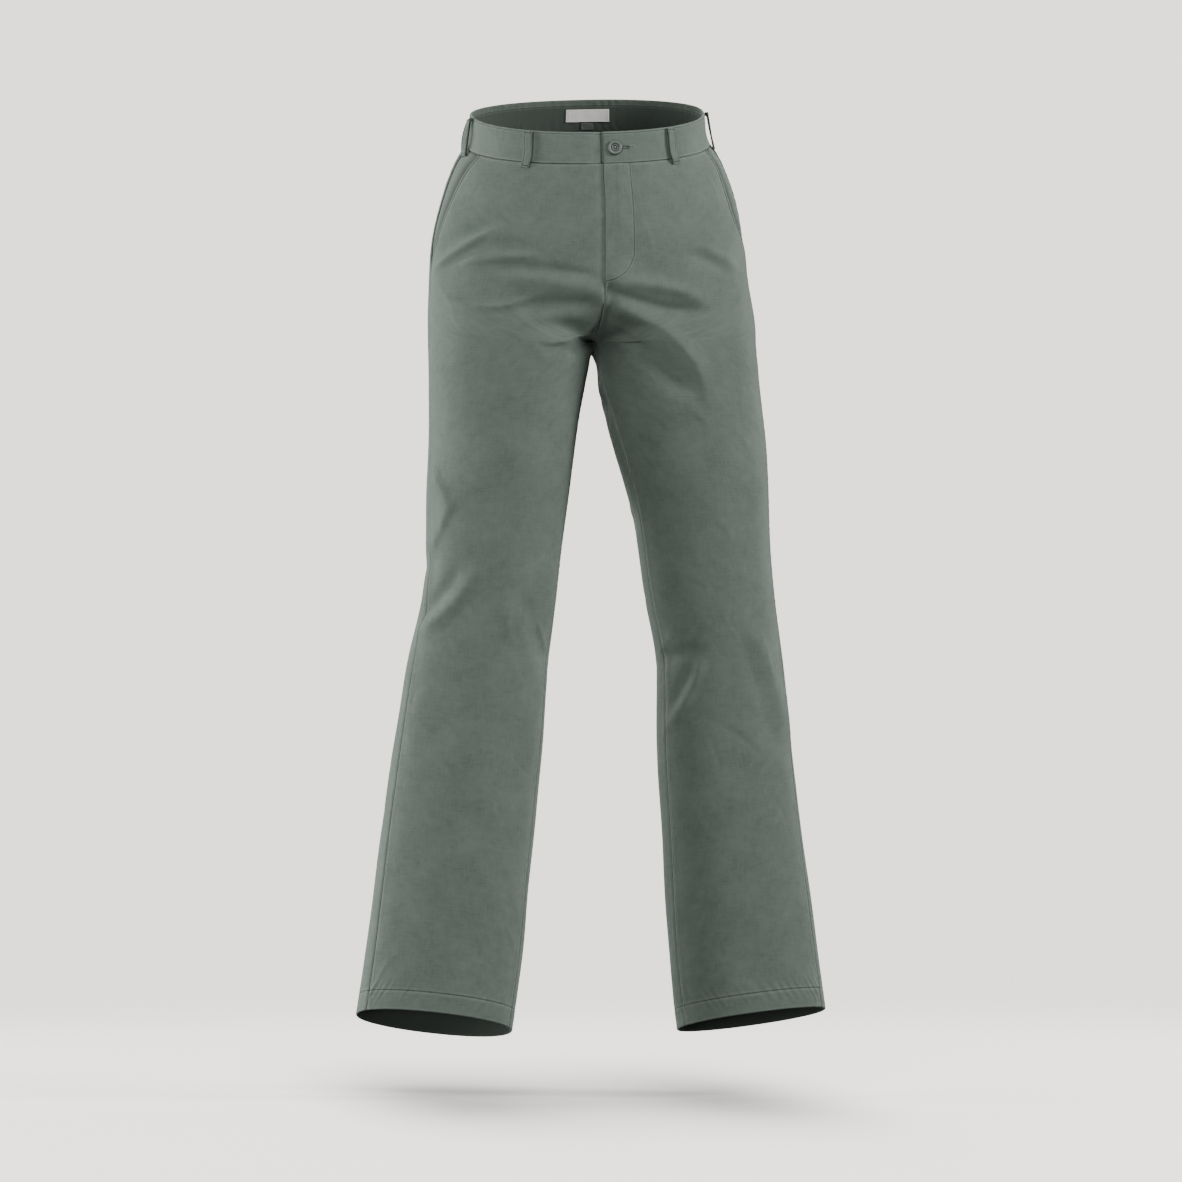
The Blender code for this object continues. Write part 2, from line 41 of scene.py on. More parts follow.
# sizes of the garment, the same as its solids have
sizes = {
    "wall": 1.3 * mm,
    "hemWall": 2.6 * mm,
    "bandWall": 3.0 * mm,
    "gap": 0.3 * mm,
    "seamTrim": 0.16 * mm,
    "bandHeight": 36 * mm,
    "bandLift": 0.8 * mm,
    "crotchDrop": 264 * mm,
    "hemDrop": 1052 * mm,
    "hemDepth": 24 * mm,
    "flyDrop": 193 * mm,
    "mouthDrop": 185 * mm,
    "flyWidth": 31 * mm,
    "flyLift": 1.5 * mm,
    "flyDip": 0.8 * mm,
    "pinchFront": -188 * mm,
    "pinchBack": -120 * mm,
    "splitTop": -120 * mm,
    "splitBottom": -350 * mm,
    "waistLean": 0.032,
    "hipPower": 2.2,
    "legPower": 2.15,
}
seamTop = -sizes["bandHeight"] - sizes["gap"]  # where the cloth under the band begins
seenFrom = math.radians(8)  # widths and front folds are given as seen from this far to the wearer's right
sideSigns = {"right": -1, "left": 1}

# one half's sections, in mm and degrees, from the waist down; right and left are the outline's two sides
hipColumns = ("z", "right", "left", "middle", "front", "back", "widest", "pitch")
hipSections = (
    (14, -133, 130, 16, -104, 103, 22, 13),
    (0, -136, 133, 17, -105, 105, 20, 13),
    (-36, -142, 140, 18, -109, 110, 15, 13),
    (-48, -150, 149, 18, -110, 113, 13, 12),
    (-66, -159, 159, 19, -112, 117, 10, 11),
    (-100, -170, 172, 20, -115, 124, 5, 9),
    (-150, -181, 181, 20, -117, 132, 0, 5),
    (-200, -183, 187, 20, -117, 135, -5, 2),
    (-235, -184, 192, 18, -116, 132, -9, 1),
)
legColumns = ("z", "outer", "inner", "front", "back", "widest", "roll", "pitch", "outseam", "inseam")
legSections = {
    "right": (
        (-264, -184, 4, -114, 124, -12, 0, 0, 90, -90),
        (-302, -183, -2, -106, 108, -14, 1, 0, 88, -84),
        (-331, -183, -8, -102, 97, -13, 1, 0, 86, -80),
        (-390, -184, -17, -97, 80, -12, 2, 0, 83, -77),
        (-448, -187, -25, -91, 69, -12, 3, 0, 80, -75),
        (-506, -187, -32, -86, 61, -13, 4, 0, 77, -73),
        (-564, -192, -38, -82, 54, -14, 5, 0, 74, -71),
        (-622, -204, -46, -79, 49, -15, 6, -1, 72, -70),
        (-680, -215, -50, -77, 46, -15, 7, -2, 70, -69),
        (-738, -224, -55, -75, 45, -15, 7, -3, 69, -69),
        (-855, -241, -66, -73, 44, -15, 7, -6, 67, -68),
        (-971, -256, -77, -72, 43, -15, 7, -11, 65, -68),
        (-1052, -268, -88, -72, 43, -15, 7, -14, 64, -68),
    ),
    "left": (
        (-264, 194, 4, -114, 124, -12, 0, 0, 90, -90),
        (-302, 197, 12, -105, 109, -13, 1, 0, 88, -82),
        (-331, 200, 18, -100, 99, -11, 1, 0, 86, -76),
        (-390, 206, 33, -94, 84, -8, 2, 0, 83, -70),
        (-448, 209, 49, -86, 74, -4, 3, 0, 80, -70),
        (-506, 211, 60, -78, 68, -2, 4, 0, 77, -72),
        (-564, 216, 68, -71, 65, 0, 5, 0, 74, -70),
        (-622, 223, 79, -65, 63, 2, 6, 0, 72, -68),
        (-680, 230, 80, -60, 63, 4, 7, -1, 70, -66),
        (-738, 236, 81, -56, 64, 7, 7, -2, 69, -66),
        (-855, 250, 88, -49, 68, 11, 7, -5, 67, -67),
        (-971, 266, 95, -43, 72, 15, 7, -9, 65, -68),
        (-1052, 277, 104, -41, 74, 17, 7, -11, 64, -68),
    ),
}
mouthLines = {  # the pocket mouths: height in mm, degrees round from the centre front
    "right": ((-36, 69), (-62, 72.5), (-100, 76.5), (-140, 81), (-160, 85.5), (-185, 90)),
    "left": ((-36, 67), (-62, 66.5), (-84, 65), (-106, 65.5), (-120, 68), (-134, 73), (-160, 83), (-185, 90)),
}

# folds on the front, in mm as seen: from (x1, z1) to (x2, z2), bowed sideways; a trough's height is negative.
# crisp runs from 0, a round fold, to 1, a pressed one; lean makes the lower side wider than the upper
foldColumns = ("x1", "z1", "x2", "z2", "bow", "width", "height", "crisp", "lean")
frontFolds = (
    # wearer's right hip, from the end of the pocket towards the fly
    (-166, -153, -110, -131, 2, 7.5, -4.6, 0.1, 0),
    (-177, -182, -109, -139, 3, 4.5, 4.8, 0.6, -0.3),
    (-152, -170, -70, -157, 7.5, 7, -4.6, 0.1, 0),
    (-149, -177, -68, -168, 1.5, 6, 4.2, 0.4, -0.3),
    (-111, -177, 1, -189, 1.3, 7, -4.0, 0.1, 0.2),
    (-97, -178, -58, -182, 0, 4, -2.2, 0.5, 0.3),
    (-99, -191, 4, -206, 2, 11, 4.2, 0.1, 0),
    (-72, -225, 10, -223, 2, 7, -3.4, 0.1, 0),
    (-70, -241, 0, -238, 4, 9, 3.4, 0, 0),
    (-164, -215, -62, -214, -12, 5, 3.4, 0.5, 0),
    (8, -243, -44, -268, 6, 4.5, 6.4, 1.0, -0.5),
    (10, -256, -26, -279, 3, 7, -3.6, 0, 0),
    # wearer's left, from the crotch up over the thigh
    (119, -165, 158, -181, 2, 6.5, -2.6, 0, 0),
    (135, -157, 171, -179, 1, 6, 2.2, 0.2, 0),
    (45, -198, 130, -217, 5, 8, 4.6, 0.2, 0),
    (24, -206, 132, -230, -8, 8, -5.6, 0.1, 0),
    (36, -226, 130, -308, 13, 12, 8.0, 0.4, -0.35),
    (38, -262, 118, -320, 4, 15, -9.4, 0, 0),
    (20, -268, 36, -284, 0, 7, -2.6, 0, 0),
    (22, -251, 26, -197, -2.5, 6.5, -3.2, 0, 0),
    # knees
    (-177, -412, -156, -457, -2, 9, 3.8, 0.4, 0.5),
    (-156, -452, -180, -506, 0, 9, 3.8, 0.3, -0.5),
    (-151, -532, -196, -584, 2, 8, -5.0, 0.1, 0),
    (-132, -536, -191, -599, 5, 8, 4.8, 0.2, 0),
    (-93, -572, -92, -606, 0, 6, 2.2, 0.1, 0),
    (-74, -560, -50, -640, 3, 10, -3.2, 0, 0),
    (85, -634, 130, -624, 2, 10, -4.4, 0, 0),
    (119, -638, 97, -688, 1, 7, -3.0, 0.1, 0),
    (132, -638, 98, -706, 3, 7.5, 4.4, 0.2, 0),
    (176, -608, 214, -722, 2, 9, -1.3, 0.1, 0),
    (191, -600, 234, -722, 3, 9, 2.4, 0.2, 0),
    # finer creases, seen when near
    (-180, -190, -154, -229, 2, 4, 1.1, 0.6, 0.0),
    (-150, -176, -112, -173, 2, 3.5, 0.7, 0.7, 0.2),
    (30, -247, 74, -278, 4, 4.2, 1.1, 0.6, 0.2),
    (128, -176, 160, -184, 1, 5, -0.7, 0.2, 0.0),
    (-176, -452, -171, -492, 1, 4, -0.9, 0.4, 0.0),
    (-58, -589, -48, -624, 1, 3, 2.0, 0.8, -0.3),
    (-150, -640, -138, -668, 1, 4, 0.7, 0.5, 0.0),
    (84, -626, 95, -606, 1, 3.5, 1.5, 0.8, 0.0),
    (92, -712, 78, -742, 1, 4, 0.8, 0.6, 0.0),
    (150, -470, 168, -492, 1, 5, 0.7, 0.5, 0.0),
    (196, -594, 214, -660, 2, 5, 0.8, 0.5, 0.0),
    (-120, -318, -96, -330, 1, 5, 0.7, 0.4, 0.0),
    (60, -372, 84, -380, 1, 4, 0.7, 0.5, 0.0),
)

# folds placed on the cloth itself: t across as on the sections, z in mm. Widths and heights in mm
wrapColumns = ("side", "t1", "z1", "t2", "z2", "bow", "width", "height", "crisp", "lean")
wrapFolds = (
    # under the seat, from the crotch out to the side
    ("right", 1.93, -236, 1.45, -214, 8, 15, -4.5, 0.1, 0.2),
    ("right", 1.95, -262, 1.38, -262, 10, 16, 4.8, 0.1, 0.0),
    ("right", 1.97, -292, 1.40, -306, 12, 15, -5.1, 0.2, 0.2),
    ("right", 1.92, -322, 1.50, -352, 10, 16, 3.9, 0.1, 0.0),
    ("left", 1.94, -230, 1.50, -200, 8, 15, -3.9, 0.1, 0.2),
    ("left", 1.95, -256, 1.36, -246, 11, 16, 5.1, 0.1, 0.0),
    ("left", 1.96, -286, 1.42, -292, 12, 15, -4.5, 0.2, 0.2),
    ("left", 1.93, -318, 1.46, -340, 9, 17, 4.2, 0.1, 0.0),
    # back of the knees
    ("right", 1.25, -520, 1.62, -556, -6, 13, -4.2, 0.3, 0.2),
    ("right", 1.20, -548, 1.66, -588, -5, 13, 3.9, 0.2, 0.0),
    ("right", 1.30, -600, 1.70, -616, 5, 12, -3.6, 0.3, 0.0),
    ("left", 1.22, -560, 1.60, -590, -6, 13, -4.2, 0.3, 0.2),
    ("left", 1.24, -590, 1.70, -630, -5, 14, 3.9, 0.2, 0.0),
    ("left", 1.32, -640, 1.72, -650, 5, 12, -3.3, 0.3, 0.0),
    # sides of the knees and the inner thigh
    ("right", 0.90, -522, 1.16, -534, 1, 13, -1.8, 0.1, 0.0),
    ("left", 1.97, -331, 1.82, -333, 0, 16, -4.5, 0.1, 0.0),
    ("left", 1.97, -465, 1.86, -466, 0, 16, -2.6, 0.1, 0.0),
    # small of the back, under the waistband
    ("right", 1.80, -70, 1.52, -58, 3, 10, -1.8, 0.1, 0.0),
    ("left", 1.82, -66, 1.50, -60, -3, 10, -1.8, 0.1, 0.0),
    # calves, long soft drapes
    ("right", 1.42, -700, 1.52, -960, 6, 26, 3.9, 0.0, 0.0),
    ("left", 1.46, -720, 1.36, -980, -6, 26, 4.2, 0.0, 0.0),
    ("right", 0.55, -740, 0.62, -960, 5, 30, 1.2, 0.0, 0.0),
    ("left", 0.42, -760, 0.36, -980, -5, 30, 1.2, 0.0, 0.0),
)
girth = 240 * mm  # cloth across for each unit of t, for placing the folds above

closing = {  # under the crotch, where the halves meet
    "partOver": 14 * mm,  # how far below the crotch they have parted
    "at": -264 * mm,
    "tall": 18 * mm,
    "reach": (10 * mm, 1 * mm),
    "swell": 0.6 * mm,
    "drawnOff": (3 * mm, 1.6 * mm),  # cloth this near the middle is drawn onto it
    "drawnIn": (30 * mm, 14 * mm),
    "drawnFoot": (-284 * mm, -277 * mm),
    "drawnHead": (-244 * mm, -252 * mm),
}
# painted shade that darkens the cloth in the hollow at the crotch
hollow = {"at": (20, -270), "reach": (20, 24), "dark": 0.75}  # the darkest place, in mm as seen


def asRows(columns, rows):
    return [dict(zip(columns, row)) for row in rows]


def acrossFromSeen(seen, y):
    return (seen + y * math.sin(seenFrom)) / math.cos(seenFrom)


def seenAcross(points):
    return points[..., 0] * math.cos(seenFrom) - points[..., 1] * math.sin(seenFrom)


def smoothStep(low, high, value):
    t = np.clip((value - low) / (high - low), 0, 1)
    return t * t * (3 - 2 * t)


def bell(value, width):
    return np.exp(-(value / width)**2)


def unit(vectors):
    return vectors / (np.linalg.norm(vectors, axis=-1, keepdims=True) + 1e-12)


def runAlong(points):  # distance along a path from its first point
    return np.concatenate([[0], np.cumsum(np.linalg.norm(np.diff(points, axis=0), axis=-1))])


def curveThrough(heights, values):  # natural cubic spline over height; both lists run downwards
    x, y = np.array(heights[::-1], float), np.array(values[::-1], float)
    step = np.diff(x)
    slope = np.diff(y) / step
    matrix, bend = np.eye(len(x)), np.zeros(len(x))
    for i in range(1, len(x) - 1):
        matrix[i, i - 1:i + 2] = step[i - 1], 2 * (step[i - 1] + step[i]), step[i]
        bend[i] = 6 * (slope[i] - slope[i - 1])
    curve = np.linalg.solve(matrix, bend)

    def at(z):
        z = np.clip(z, x[0], x[-1])
        i = np.clip(np.searchsorted(x, z) - 1, 0, len(step) - 1)
        a, b, h = x[i + 1] - z, z - x[i], step[i]
        ends = (curve[i] * a**3 + curve[i + 1] * b**3) / (6 * h)
        return ends + (y[i] / h - curve[i] * h / 6) * a + (y[i + 1] / h - curve[i + 1] * h / 6) * b

    return at


def curvesOf(side):
    rows = []
    for row in asRows(hipColumns, hipSections):
        rows.append({**row, "outer": acrossFromSeen(row[side], row["widest"]),
                     "inner": acrossFromSeen(row["middle"], row["front"]),
                     "roll": 0, "outseam": 90, "inseam": -90})
    for row in asRows(legColumns, legSections[side]):
        rows.append({**row, "outer": acrossFromSeen(row["outer"], row["widest"]),
                     "inner": acrossFromSeen(row["inner"], row["widest"])})
    heights = [row["z"] * mm for row in rows]
    scale = {"outer": mm, "inner": mm, "front": mm, "back": mm, "widest": mm}
    return {name: curveThrough(heights, [row[name] * scale.get(name, 1) for row in rows])
            for name in legColumns if name != "z"}


curves = {side: curvesOf(side) for side in sideSigns}


def valuesAt(side, z):  # above the crotch both halves share all but their outer side
    found = {name: at(z) for name, at in curves[side].items()}
    joined = smoothStep(-sizes["crotchDrop"] - closing["partOver"], -sizes["crotchDrop"], z)
    for name in found:
        if name not in ("outer", "outseam"):
            shared = (curves["right"][name](z) + curves["left"][name](z)) / 2
            found[name] = found[name] + (shared - found[name]) * joined
    return found


def splitShare(t, z):  # from one hip oval to two leg ovals, and how far the cloth dips near the crotch seam
    start = np.where(t < 1, sizes["pinchFront"], sizes["pinchBack"])
    tall = start + sizes["crotchDrop"]
    turn = np.clip((start - z) / tall, 0, 1)
    fromSeam = np.minimum(t, 2 - t)
    atSeam = 1 - np.cos(turn * math.pi / 2)
    slow = smoothStep(sizes["splitTop"], sizes["splitBottom"], z)
    share = atSeam + smoothStep(0, 0.6, fromSeam) * (slow - atSeam)
    dip = tall * (np.sin(turn * math.pi / 2) - turn) * smoothStep(0.5, 0, fromSeam)
    return share, dip


def ovalOf(angle, power):
    s, c = np.sin(angle), np.cos(angle)
    return np.sign(s) * np.abs(s)**(2 / power), np.sign(c) * np.abs(c)**(2 / power)


def bareForm(side, t, z):  # t runs 0, 1, 2 from the centre front or inseam by the side seam to the back
    t, z = np.broadcast_arrays(np.asarray(t, float), np.asarray(z, float))
    v = valuesAt(side, z)
    out, back = np.radians(v["outseam"]), np.clip(t - 1, 0, 1)
    hipAngle = np.where(t < 1, t * out, out + back * (math.pi - out))
    inseam = np.radians(v["inseam"])
    legAngle = np.where(t < 1, inseam + t * (out - inseam), out + back * (2 * math.pi + inseam - out))
    depthFront, depthBack = v["widest"] - v["front"], v["back"] - v["widest"]

    def section(angle, centre, half, power):
        s, c = ovalOf(angle, power)
        return centre + half * s, v["widest"] - np.where(c > 0, depthFront, depthBack) * c

    hipX, hipY = section(hipAngle, v["inner"], v["outer"] - v["inner"], sizes["hipPower"])
    legX, legY = section(legAngle, (v["inner"] + v["outer"]) / 2, (v["outer"] - v["inner"]) / 2,
                         sizes["legPower"])
    share, dip = splitShare(t, z)
    x = hipX + share * (legX - hipX + sideSigns[side] * sizes["seamTrim"])
    y = hipY + share * (legY - hipY)
    raised = np.abs(x - v["inner"]) - np.abs(v["outer"] - v["inner"]) / 2
    level = v["widest"] * smoothStep(sizes["splitTop"], sizes["splitBottom"], z)
    tilt = np.tan(np.radians(v["roll"])) * raised + np.tan(np.radians(v["pitch"])) * (y - level)
    lean = sizes["waistLean"] * x * smoothStep(-150 * mm, -sizes["bandHeight"], z)
    return np.stack([x, y, z - dip + tilt + lean], axis=-1)


def formAcross(side, t, z):  # t below 0 runs on past the centre front onto the other half
    t, z = np.broadcast_arrays(np.asarray(t, float), np.asarray(z, float))
    other = "left" if side == "right" else "right"
    return np.where((t < 0)[..., None], bareForm(other, np.abs(t), z), bareForm(side, np.abs(t), z))


def outwardOf(side, t, z):
    dt, dz = 1e-3, 0.5 * mm
    along = formAcross(side, np.clip(t + dt, None, 2), z) - formAcross(side, t - dt, z)
    down = formAcross(side, t, z - dz) - formAcross(side, t, z + dz)
    normal = np.cross(down, along) * sideSigns[side]
    return normal / np.linalg.norm(normal, axis=-1, keepdims=True)


def foldProfile(away, fold):  # 1 on the fold's line, falling to 0 beside it
    width = fold["width"] * mm * np.where(away > 0, 1 - fold["lean"], 1 + fold["lean"])
    r = np.abs(away) / width
    soft = np.exp(-r**2)
    sharp = np.exp(-1.6 * (np.sqrt(r**2 + 0.02) - math.sqrt(0.02)))
    return soft + fold["crisp"] * (sharp - soft)


def foldLift(across, z, table):
    total = np.zeros(np.shape(across))
    for fold in asRows(foldColumns, table):
        start = np.array([fold["x1"], fold["z1"]]) * mm
        run = np.array([fold["x2"], fold["z2"]]) * mm - start
        length = np.linalg.norm(run)
        run = run / length
        offX, offZ = across - start[0], z - start[1]
        s = (offX * run[0] + offZ * run[1]) / length
        away = offZ * run[0] - offX * run[1] - fold["bow"] * mm * 4 * s * (1 - s)
        ends = smoothStep(-0.25, 0.25, s) * smoothStep(1.25, 0.75, s)
        total = total + fold["height"] * mm * ends * foldProfile(away * np.sign(run[0] + 1e-9), fold)
    return total


def wrapLift(side, t, z):
    rows = []
    for fold in asRows(wrapColumns, wrapFolds):
        if fold["side"] == side:
            across = {"x1": fold["t1"] * girth / mm, "x2": fold["t2"] * girth / mm}
            rows.append([{**fold, **across}[name] for name in foldColumns])
    onLeg = smoothStep(-sizes["crotchDrop"], -sizes["crotchDrop"] - 20 * mm, z)
    fromCentre = smoothStep(0, 16 * mm, np.minimum(t, 2 - t) * girth)
    own = foldLift(t * girth, z, rows) * (fromCentre + (1 - fromCentre) * onLeg)
    around = foldLift((t + 2) * girth, z, rows) + foldLift((t - 2) * girth, z, rows)
    return own + around * onLeg


def frontLift(points, normals):  # the folds seen from the front
    facing = smoothStep(-0.05, 0.45, -normals[..., 1])
    return foldLift(seenAcross(points), points[..., 2], frontFolds) * facing


relief = {
    "unevenness": 0.55 * mm,
    "waves": 9,
    "waveLengths": (60 * mm, 220 * mm),
    "creases": 190,
    "creaseHeight": 0.5 * mm,
    "creaseLengths": (9 * mm, 34 * mm),
    "creaseWidths": (1.8 * mm, 4.2 * mm),
    "creaseSlant": (0.9, 0.35),  # in radians, the middle and how far it varies
    "calmFrom": (-36 * mm, -80 * mm),  # the cloth lies flatter close under the band
    "calmEdge": 12 * mm,
    "seamGroove": 0.9 * mm,
    "grooveWidth": 0.9 * mm,
    "seamSwell": 0.35 * mm,
    "swellAt": 4.2 * mm,
    "swellWidth": 2.8 * mm,
    "seamPucker": 0.42 * mm,
    "puckerReach": 7 * mm,
    "puckerLengths": (7.1, 8.7, 10.6, 13.9),  # in mm
    "hemPucker": 0.6 * mm,
    "hemReach": 12 * mm,
    "ropeSlant": 0.55,
    "stitchDent": 0.35 * mm,
    "hemDentWidth": 1.1 * mm,
    "flyDentWidth": 1.3 * mm,
    "mouthDent": 0.7 * mm,
    "mouthDentWidth": 1.5 * mm,
    "edgeRoll": 0.45 * mm,  # folded edges roll in a little
    "edgeRollWidth": 0.8 * mm,
}


def unevenness(u, v, seed):  # slow waves
    rng = np.random.default_rng(seed)
    total = np.zeros(np.shape(u))
    for wave in range(relief["waves"]):
        angle, length = rng.uniform(0, math.pi), rng.uniform(*relief["waveLengths"])
        phase = rng.uniform(0, math.tau)
        total += np.sin((u * math.cos(angle) + v * math.sin(angle)) * math.tau / length + phase)
    return total / math.sqrt(relief["waves"])


def crumple(u, v, seed, count):  # short creases at random, mostly slanting
    rng = np.random.default_rng(seed)
    total = np.zeros(np.shape(u))
    for crease in range(count):
        cu, cv = rng.uniform(u.min(), u.max()), rng.uniform(v.min(), v.max())
        angle = rng.choice((-1, 1)) * rng.normal(*relief["creaseSlant"])
        length, width = rng.uniform(*relief["creaseLengths"]), rng.uniform(*relief["creaseWidths"])
        height, bow = rng.normal(0, 0.7), rng.normal(0, 0.2)
        s = ((u - cu) * math.cos(angle) + (v - cv) * math.sin(angle)) / length
        d = (-(u - cu) * math.sin(angle) + (v - cv) * math.cos(angle)) / length + bow * s * s
        total += height * np.exp(-s**2 - (d * length / width)**2)
    return total


def puckerWave(along, seed):  # uneven ripples
    rng = np.random.default_rng(seed)
    total = np.zeros(np.shape(along))
    for length in relief["puckerLengths"]:
        slow = 0.6 + 0.4 * np.sin(along * math.tau / (rng.uniform(60, 140) * mm) + rng.uniform(0, math.tau))
        total += slow * np.sin(along * math.tau / (length * mm) + rng.uniform(0, math.tau))
    return total / 2


def seamRelief(away, along, seed):
    groove = -relief["seamGroove"] * bell(away, relief["grooveWidth"])
    swell = relief["seamSwell"] * bell(away - relief["swellAt"], relief["swellWidth"])
    ripple = relief["seamPucker"] * puckerWave(along, seed) * np.exp(-away / relief["puckerReach"])
    return groove + swell + ripple * smoothStep(0.3 * mm, 2.2 * mm, away)


fly = {
    "turn": -148 * mm,  # from here the stitching bends round to the centre seam
    "end": -190 * mm,
    "flare": 3.6 * mm,
    "foot": 2 * mm,
    "ridgeFrom": 17 * mm,
    "ridgeWidth": 2.6 * mm,
    "ridge": 0.45 * mm,
    "ridgeFade": 40 * mm,
    "tuck": 5 * mm,  # how far the right front runs on under the lap
    "lapFade": (-22 * mm, 8 * mm),
    "overReach": (3 * mm, -12 * mm),
    "underReach": (12 * mm, 3 * mm),
    "crotchStitch": 3.2 * mm,
}


def lapTall(z):
    low, high = fly["lapFade"]
    return smoothStep(-sizes["flyDrop"] + low, -sizes["flyDrop"] + high, z)


def lapLift(side, arc, z):  # the fly's lap: the left edge stands out over the right
    if side == "left":
        edge, (outer, inner) = sizes["flyWidth"], fly["overReach"]
        return sizes["flyLift"] * lapTall(z) * smoothStep(edge + outer, edge + inner, arc)
    return -sizes["flyDip"] * lapTall(z) * smoothStep(*fly["underReach"], arc)


def flyStitchPath():  # down beside the lap's edge, then round to the centre seam
    top, wide = -sizes["bandHeight"], sizes["flyWidth"]
    drop = np.linspace(0, 1, 6)[:-1]
    path = [(wide + fly["flare"] * share, top + (fly["turn"] - top) * share) for share in drop]
    for angle in np.linspace(0, math.pi / 2, 16):
        path.append((fly["foot"] + (wide + fly["flare"] - fly["foot"]) * math.cos(angle),
                     fly["turn"] + (fly["end"] - fly["turn"]) * math.sin(angle)))
    return path


def mouthT(side, z):  # where the pocket mouth crosses this height
    heights, angles = zip(*mouthLines[side])
    return np.interp(z, [h * mm for h in heights[::-1]], [a / 90 for a in angles[::-1]])


def signedAway(u, v, path):  # distance to a path on the cloth, positive on its left
    best = np.full(np.shape(u), 1.0)
    for (u1, v1), (u2, v2) in zip(path, path[1:]):
        du, dv = u2 - u1, v2 - v1
        s = np.clip(((u - u1) * du + (v - v1) * dv) / math.hypot(du, dv)**2, 0, 1)
        away = np.hypot(u - u1 - s * du, v - v1 - s * dv)
        sign = np.where(du * (v - v1) - dv * (u - u1) > 0, 1, -1)
        best = np.where(away < np.abs(best), sign * away, best)
    return best


# lines are drawn by their distance in mm: a factor under 1 widens a dark line of a seam, stitching or painted
# shadow, and a folded edge, light with wear and painted highlight, starts its distance at its edge mark
marks = {
    # painted shadow lines: beside the fly's lap, under the band and along its foot, in the buttonhole's slit,
    # and along and beside the belt loops
    "lap": 0.6,
    "underBand": 0.55,
    "mouthLine": 0.4,
    "mouthStitch": 4.2 * mm,
    "hemLine": 0.6,
    "hemStitch": 2 * mm,
    "worn": 0.65 * mm,
    "finerLeg": 0.8,
    "finerLegFrom": (-400 * mm, -600 * mm),
    "finerHip": 1.4,
    "finerHipFrom": (-230 * mm, -190 * mm),
    "bandFoot": 0.8,
    "slit": 0.9,
    "loopEdge": 0.5,
    "loopShade": 0.75,
    "loopStitch": 1.5,
    "loopTack": 0.6,
}
noLine = {"panel": 1.0, "strip": 50 * mm}  # distances that stand for no seam or stitch nearby


def nearest(*fields):  # the field that is smallest in size, at each point
    best = fields[0]
    for field in fields[1:]:
        best = np.where(np.abs(field) < np.abs(best), field, best)
    return best


def onlyWhere(there, field, otherwise=noLine["panel"]):
    return np.where(there, field, otherwise)


panelRows = (  # from, to in mm and how many rows
    (-36.3, -52, 10), (-52, -180, 42), (-180, -282, 44), (-282, -1018, 196), (-1018, -1052.2, 22))
panelColumns = 128
edgeCrowding = 0.62  # 0 spaces a panel's columns evenly, towards 1 they crowd at its edges
hemEdge = panelRows[-1][1] * mm


def panelHeights():
    rows = [np.linspace(top, bottom, count + 1)[:-1] * mm for top, bottom, count in panelRows]
    return np.concatenate(rows + [[hemEdge]])


def crowded(count):
    s = np.linspace(0, 1, count)
    return s - edgeCrowding * np.sin(s * math.tau) / math.tau


def arcAlong(points):  # distance along each row of a grid from its first column
    steps = np.linalg.norm(np.diff(points, axis=1), axis=-1)
    return np.concatenate([np.zeros((len(points), 1)), np.cumsum(steps, axis=1)], axis=1)


# painted shade, darkest in the hollow at the crotch
def crotchShade(points):
    across = (seenAcross(points) / mm - hollow["at"][0]) / hollow["reach"][0]
    down = (points[..., 2] / mm - hollow["at"][1]) / hollow["reach"][1]
    return hollow["dark"] * np.exp(-across**2 - down**2)


def sewingLift(panel):  # what sewing and wear do to the cloth: slow waves, creases, seams and the roped hem
    z, arc, seed = panel["z"], panel["arc"], panel["seed"]
    calm = smoothStep(*relief["calmFrom"], z)
    calm = calm * smoothStep(0, relief["calmEdge"], np.minimum(panel["fromFirst"], panel["fromLast"]))
    lift = relief["unevenness"] * unevenness(arc, z, seed) * calm
    lift = lift + relief["creaseHeight"] * crumple(arc, z, seed + 1, relief["creases"]) * calm
    lift = lift + seamRelief(panel["fromFirst"], z, seed + 2) * panel["firstSewn"]
    lift = lift + seamRelief(panel["fromLast"], z, seed + 3) * panel["lastSewn"]
    roping = puckerWave(arc + relief["ropeSlant"] * z, seed + 4)
    lift = lift + relief["hemPucker"] * roping * bell(panel["aboveHem"], relief["hemReach"])
    return lift - relief["stitchDent"] * bell(panel["aboveHem"], relief["hemDentWidth"])


def foldedLift(panel):  # a front's lap and pocket mouth, with their stitching
    z, centre, unsewn = panel["z"], panel["centre"], 1 - panel["lastSewn"]
    lift = lapLift(panel["side"], centre, z)
    lift = lift - relief["mouthDent"] * bell(panel["mouthStitch"], relief["mouthDentWidth"]) * unsewn
    lift = lift - relief["edgeRoll"] * bell(panel["fromLast"], relief["edgeRollWidth"]) * unsewn
    if panel["side"] == "left":
        rolled = bell(panel["fromFirst"], relief["edgeRollWidth"]) * (1 - panel["firstSewn"])
        lift = lift - relief["stitchDent"] * bell(panel["flyStitch"], relief["flyDentWidth"])
        lift = lift - relief["edgeRoll"] * rolled
        ridge = bell(centre - fly["ridgeFrom"], fly["ridgeWidth"])
        lift = lift + fly["ridge"] * ridge * smoothStep(fly["turn"], fly["turn"] + fly["ridgeFade"], z)
    return lift


def stitchDistance(panel):
    z, away = panel["z"], [panel["aboveHem"] * marks["hemLine"]]
    if panel["face"] == "front":
        onMouth = z > -sizes["mouthDrop"] - 3 * mm
        away.append(onlyWhere(onMouth, panel["mouthStitch"] * marks["mouthLine"]))
        if panel["side"] == "left":
            belowFly = (z < -sizes["flyDrop"]) & (z <= -sizes["crotchDrop"] + 6 * mm)
            away += [panel["flyStitch"], onlyWhere(belowFly, panel["centre"] - fly["crotchStitch"])]
    return nearest(*away)


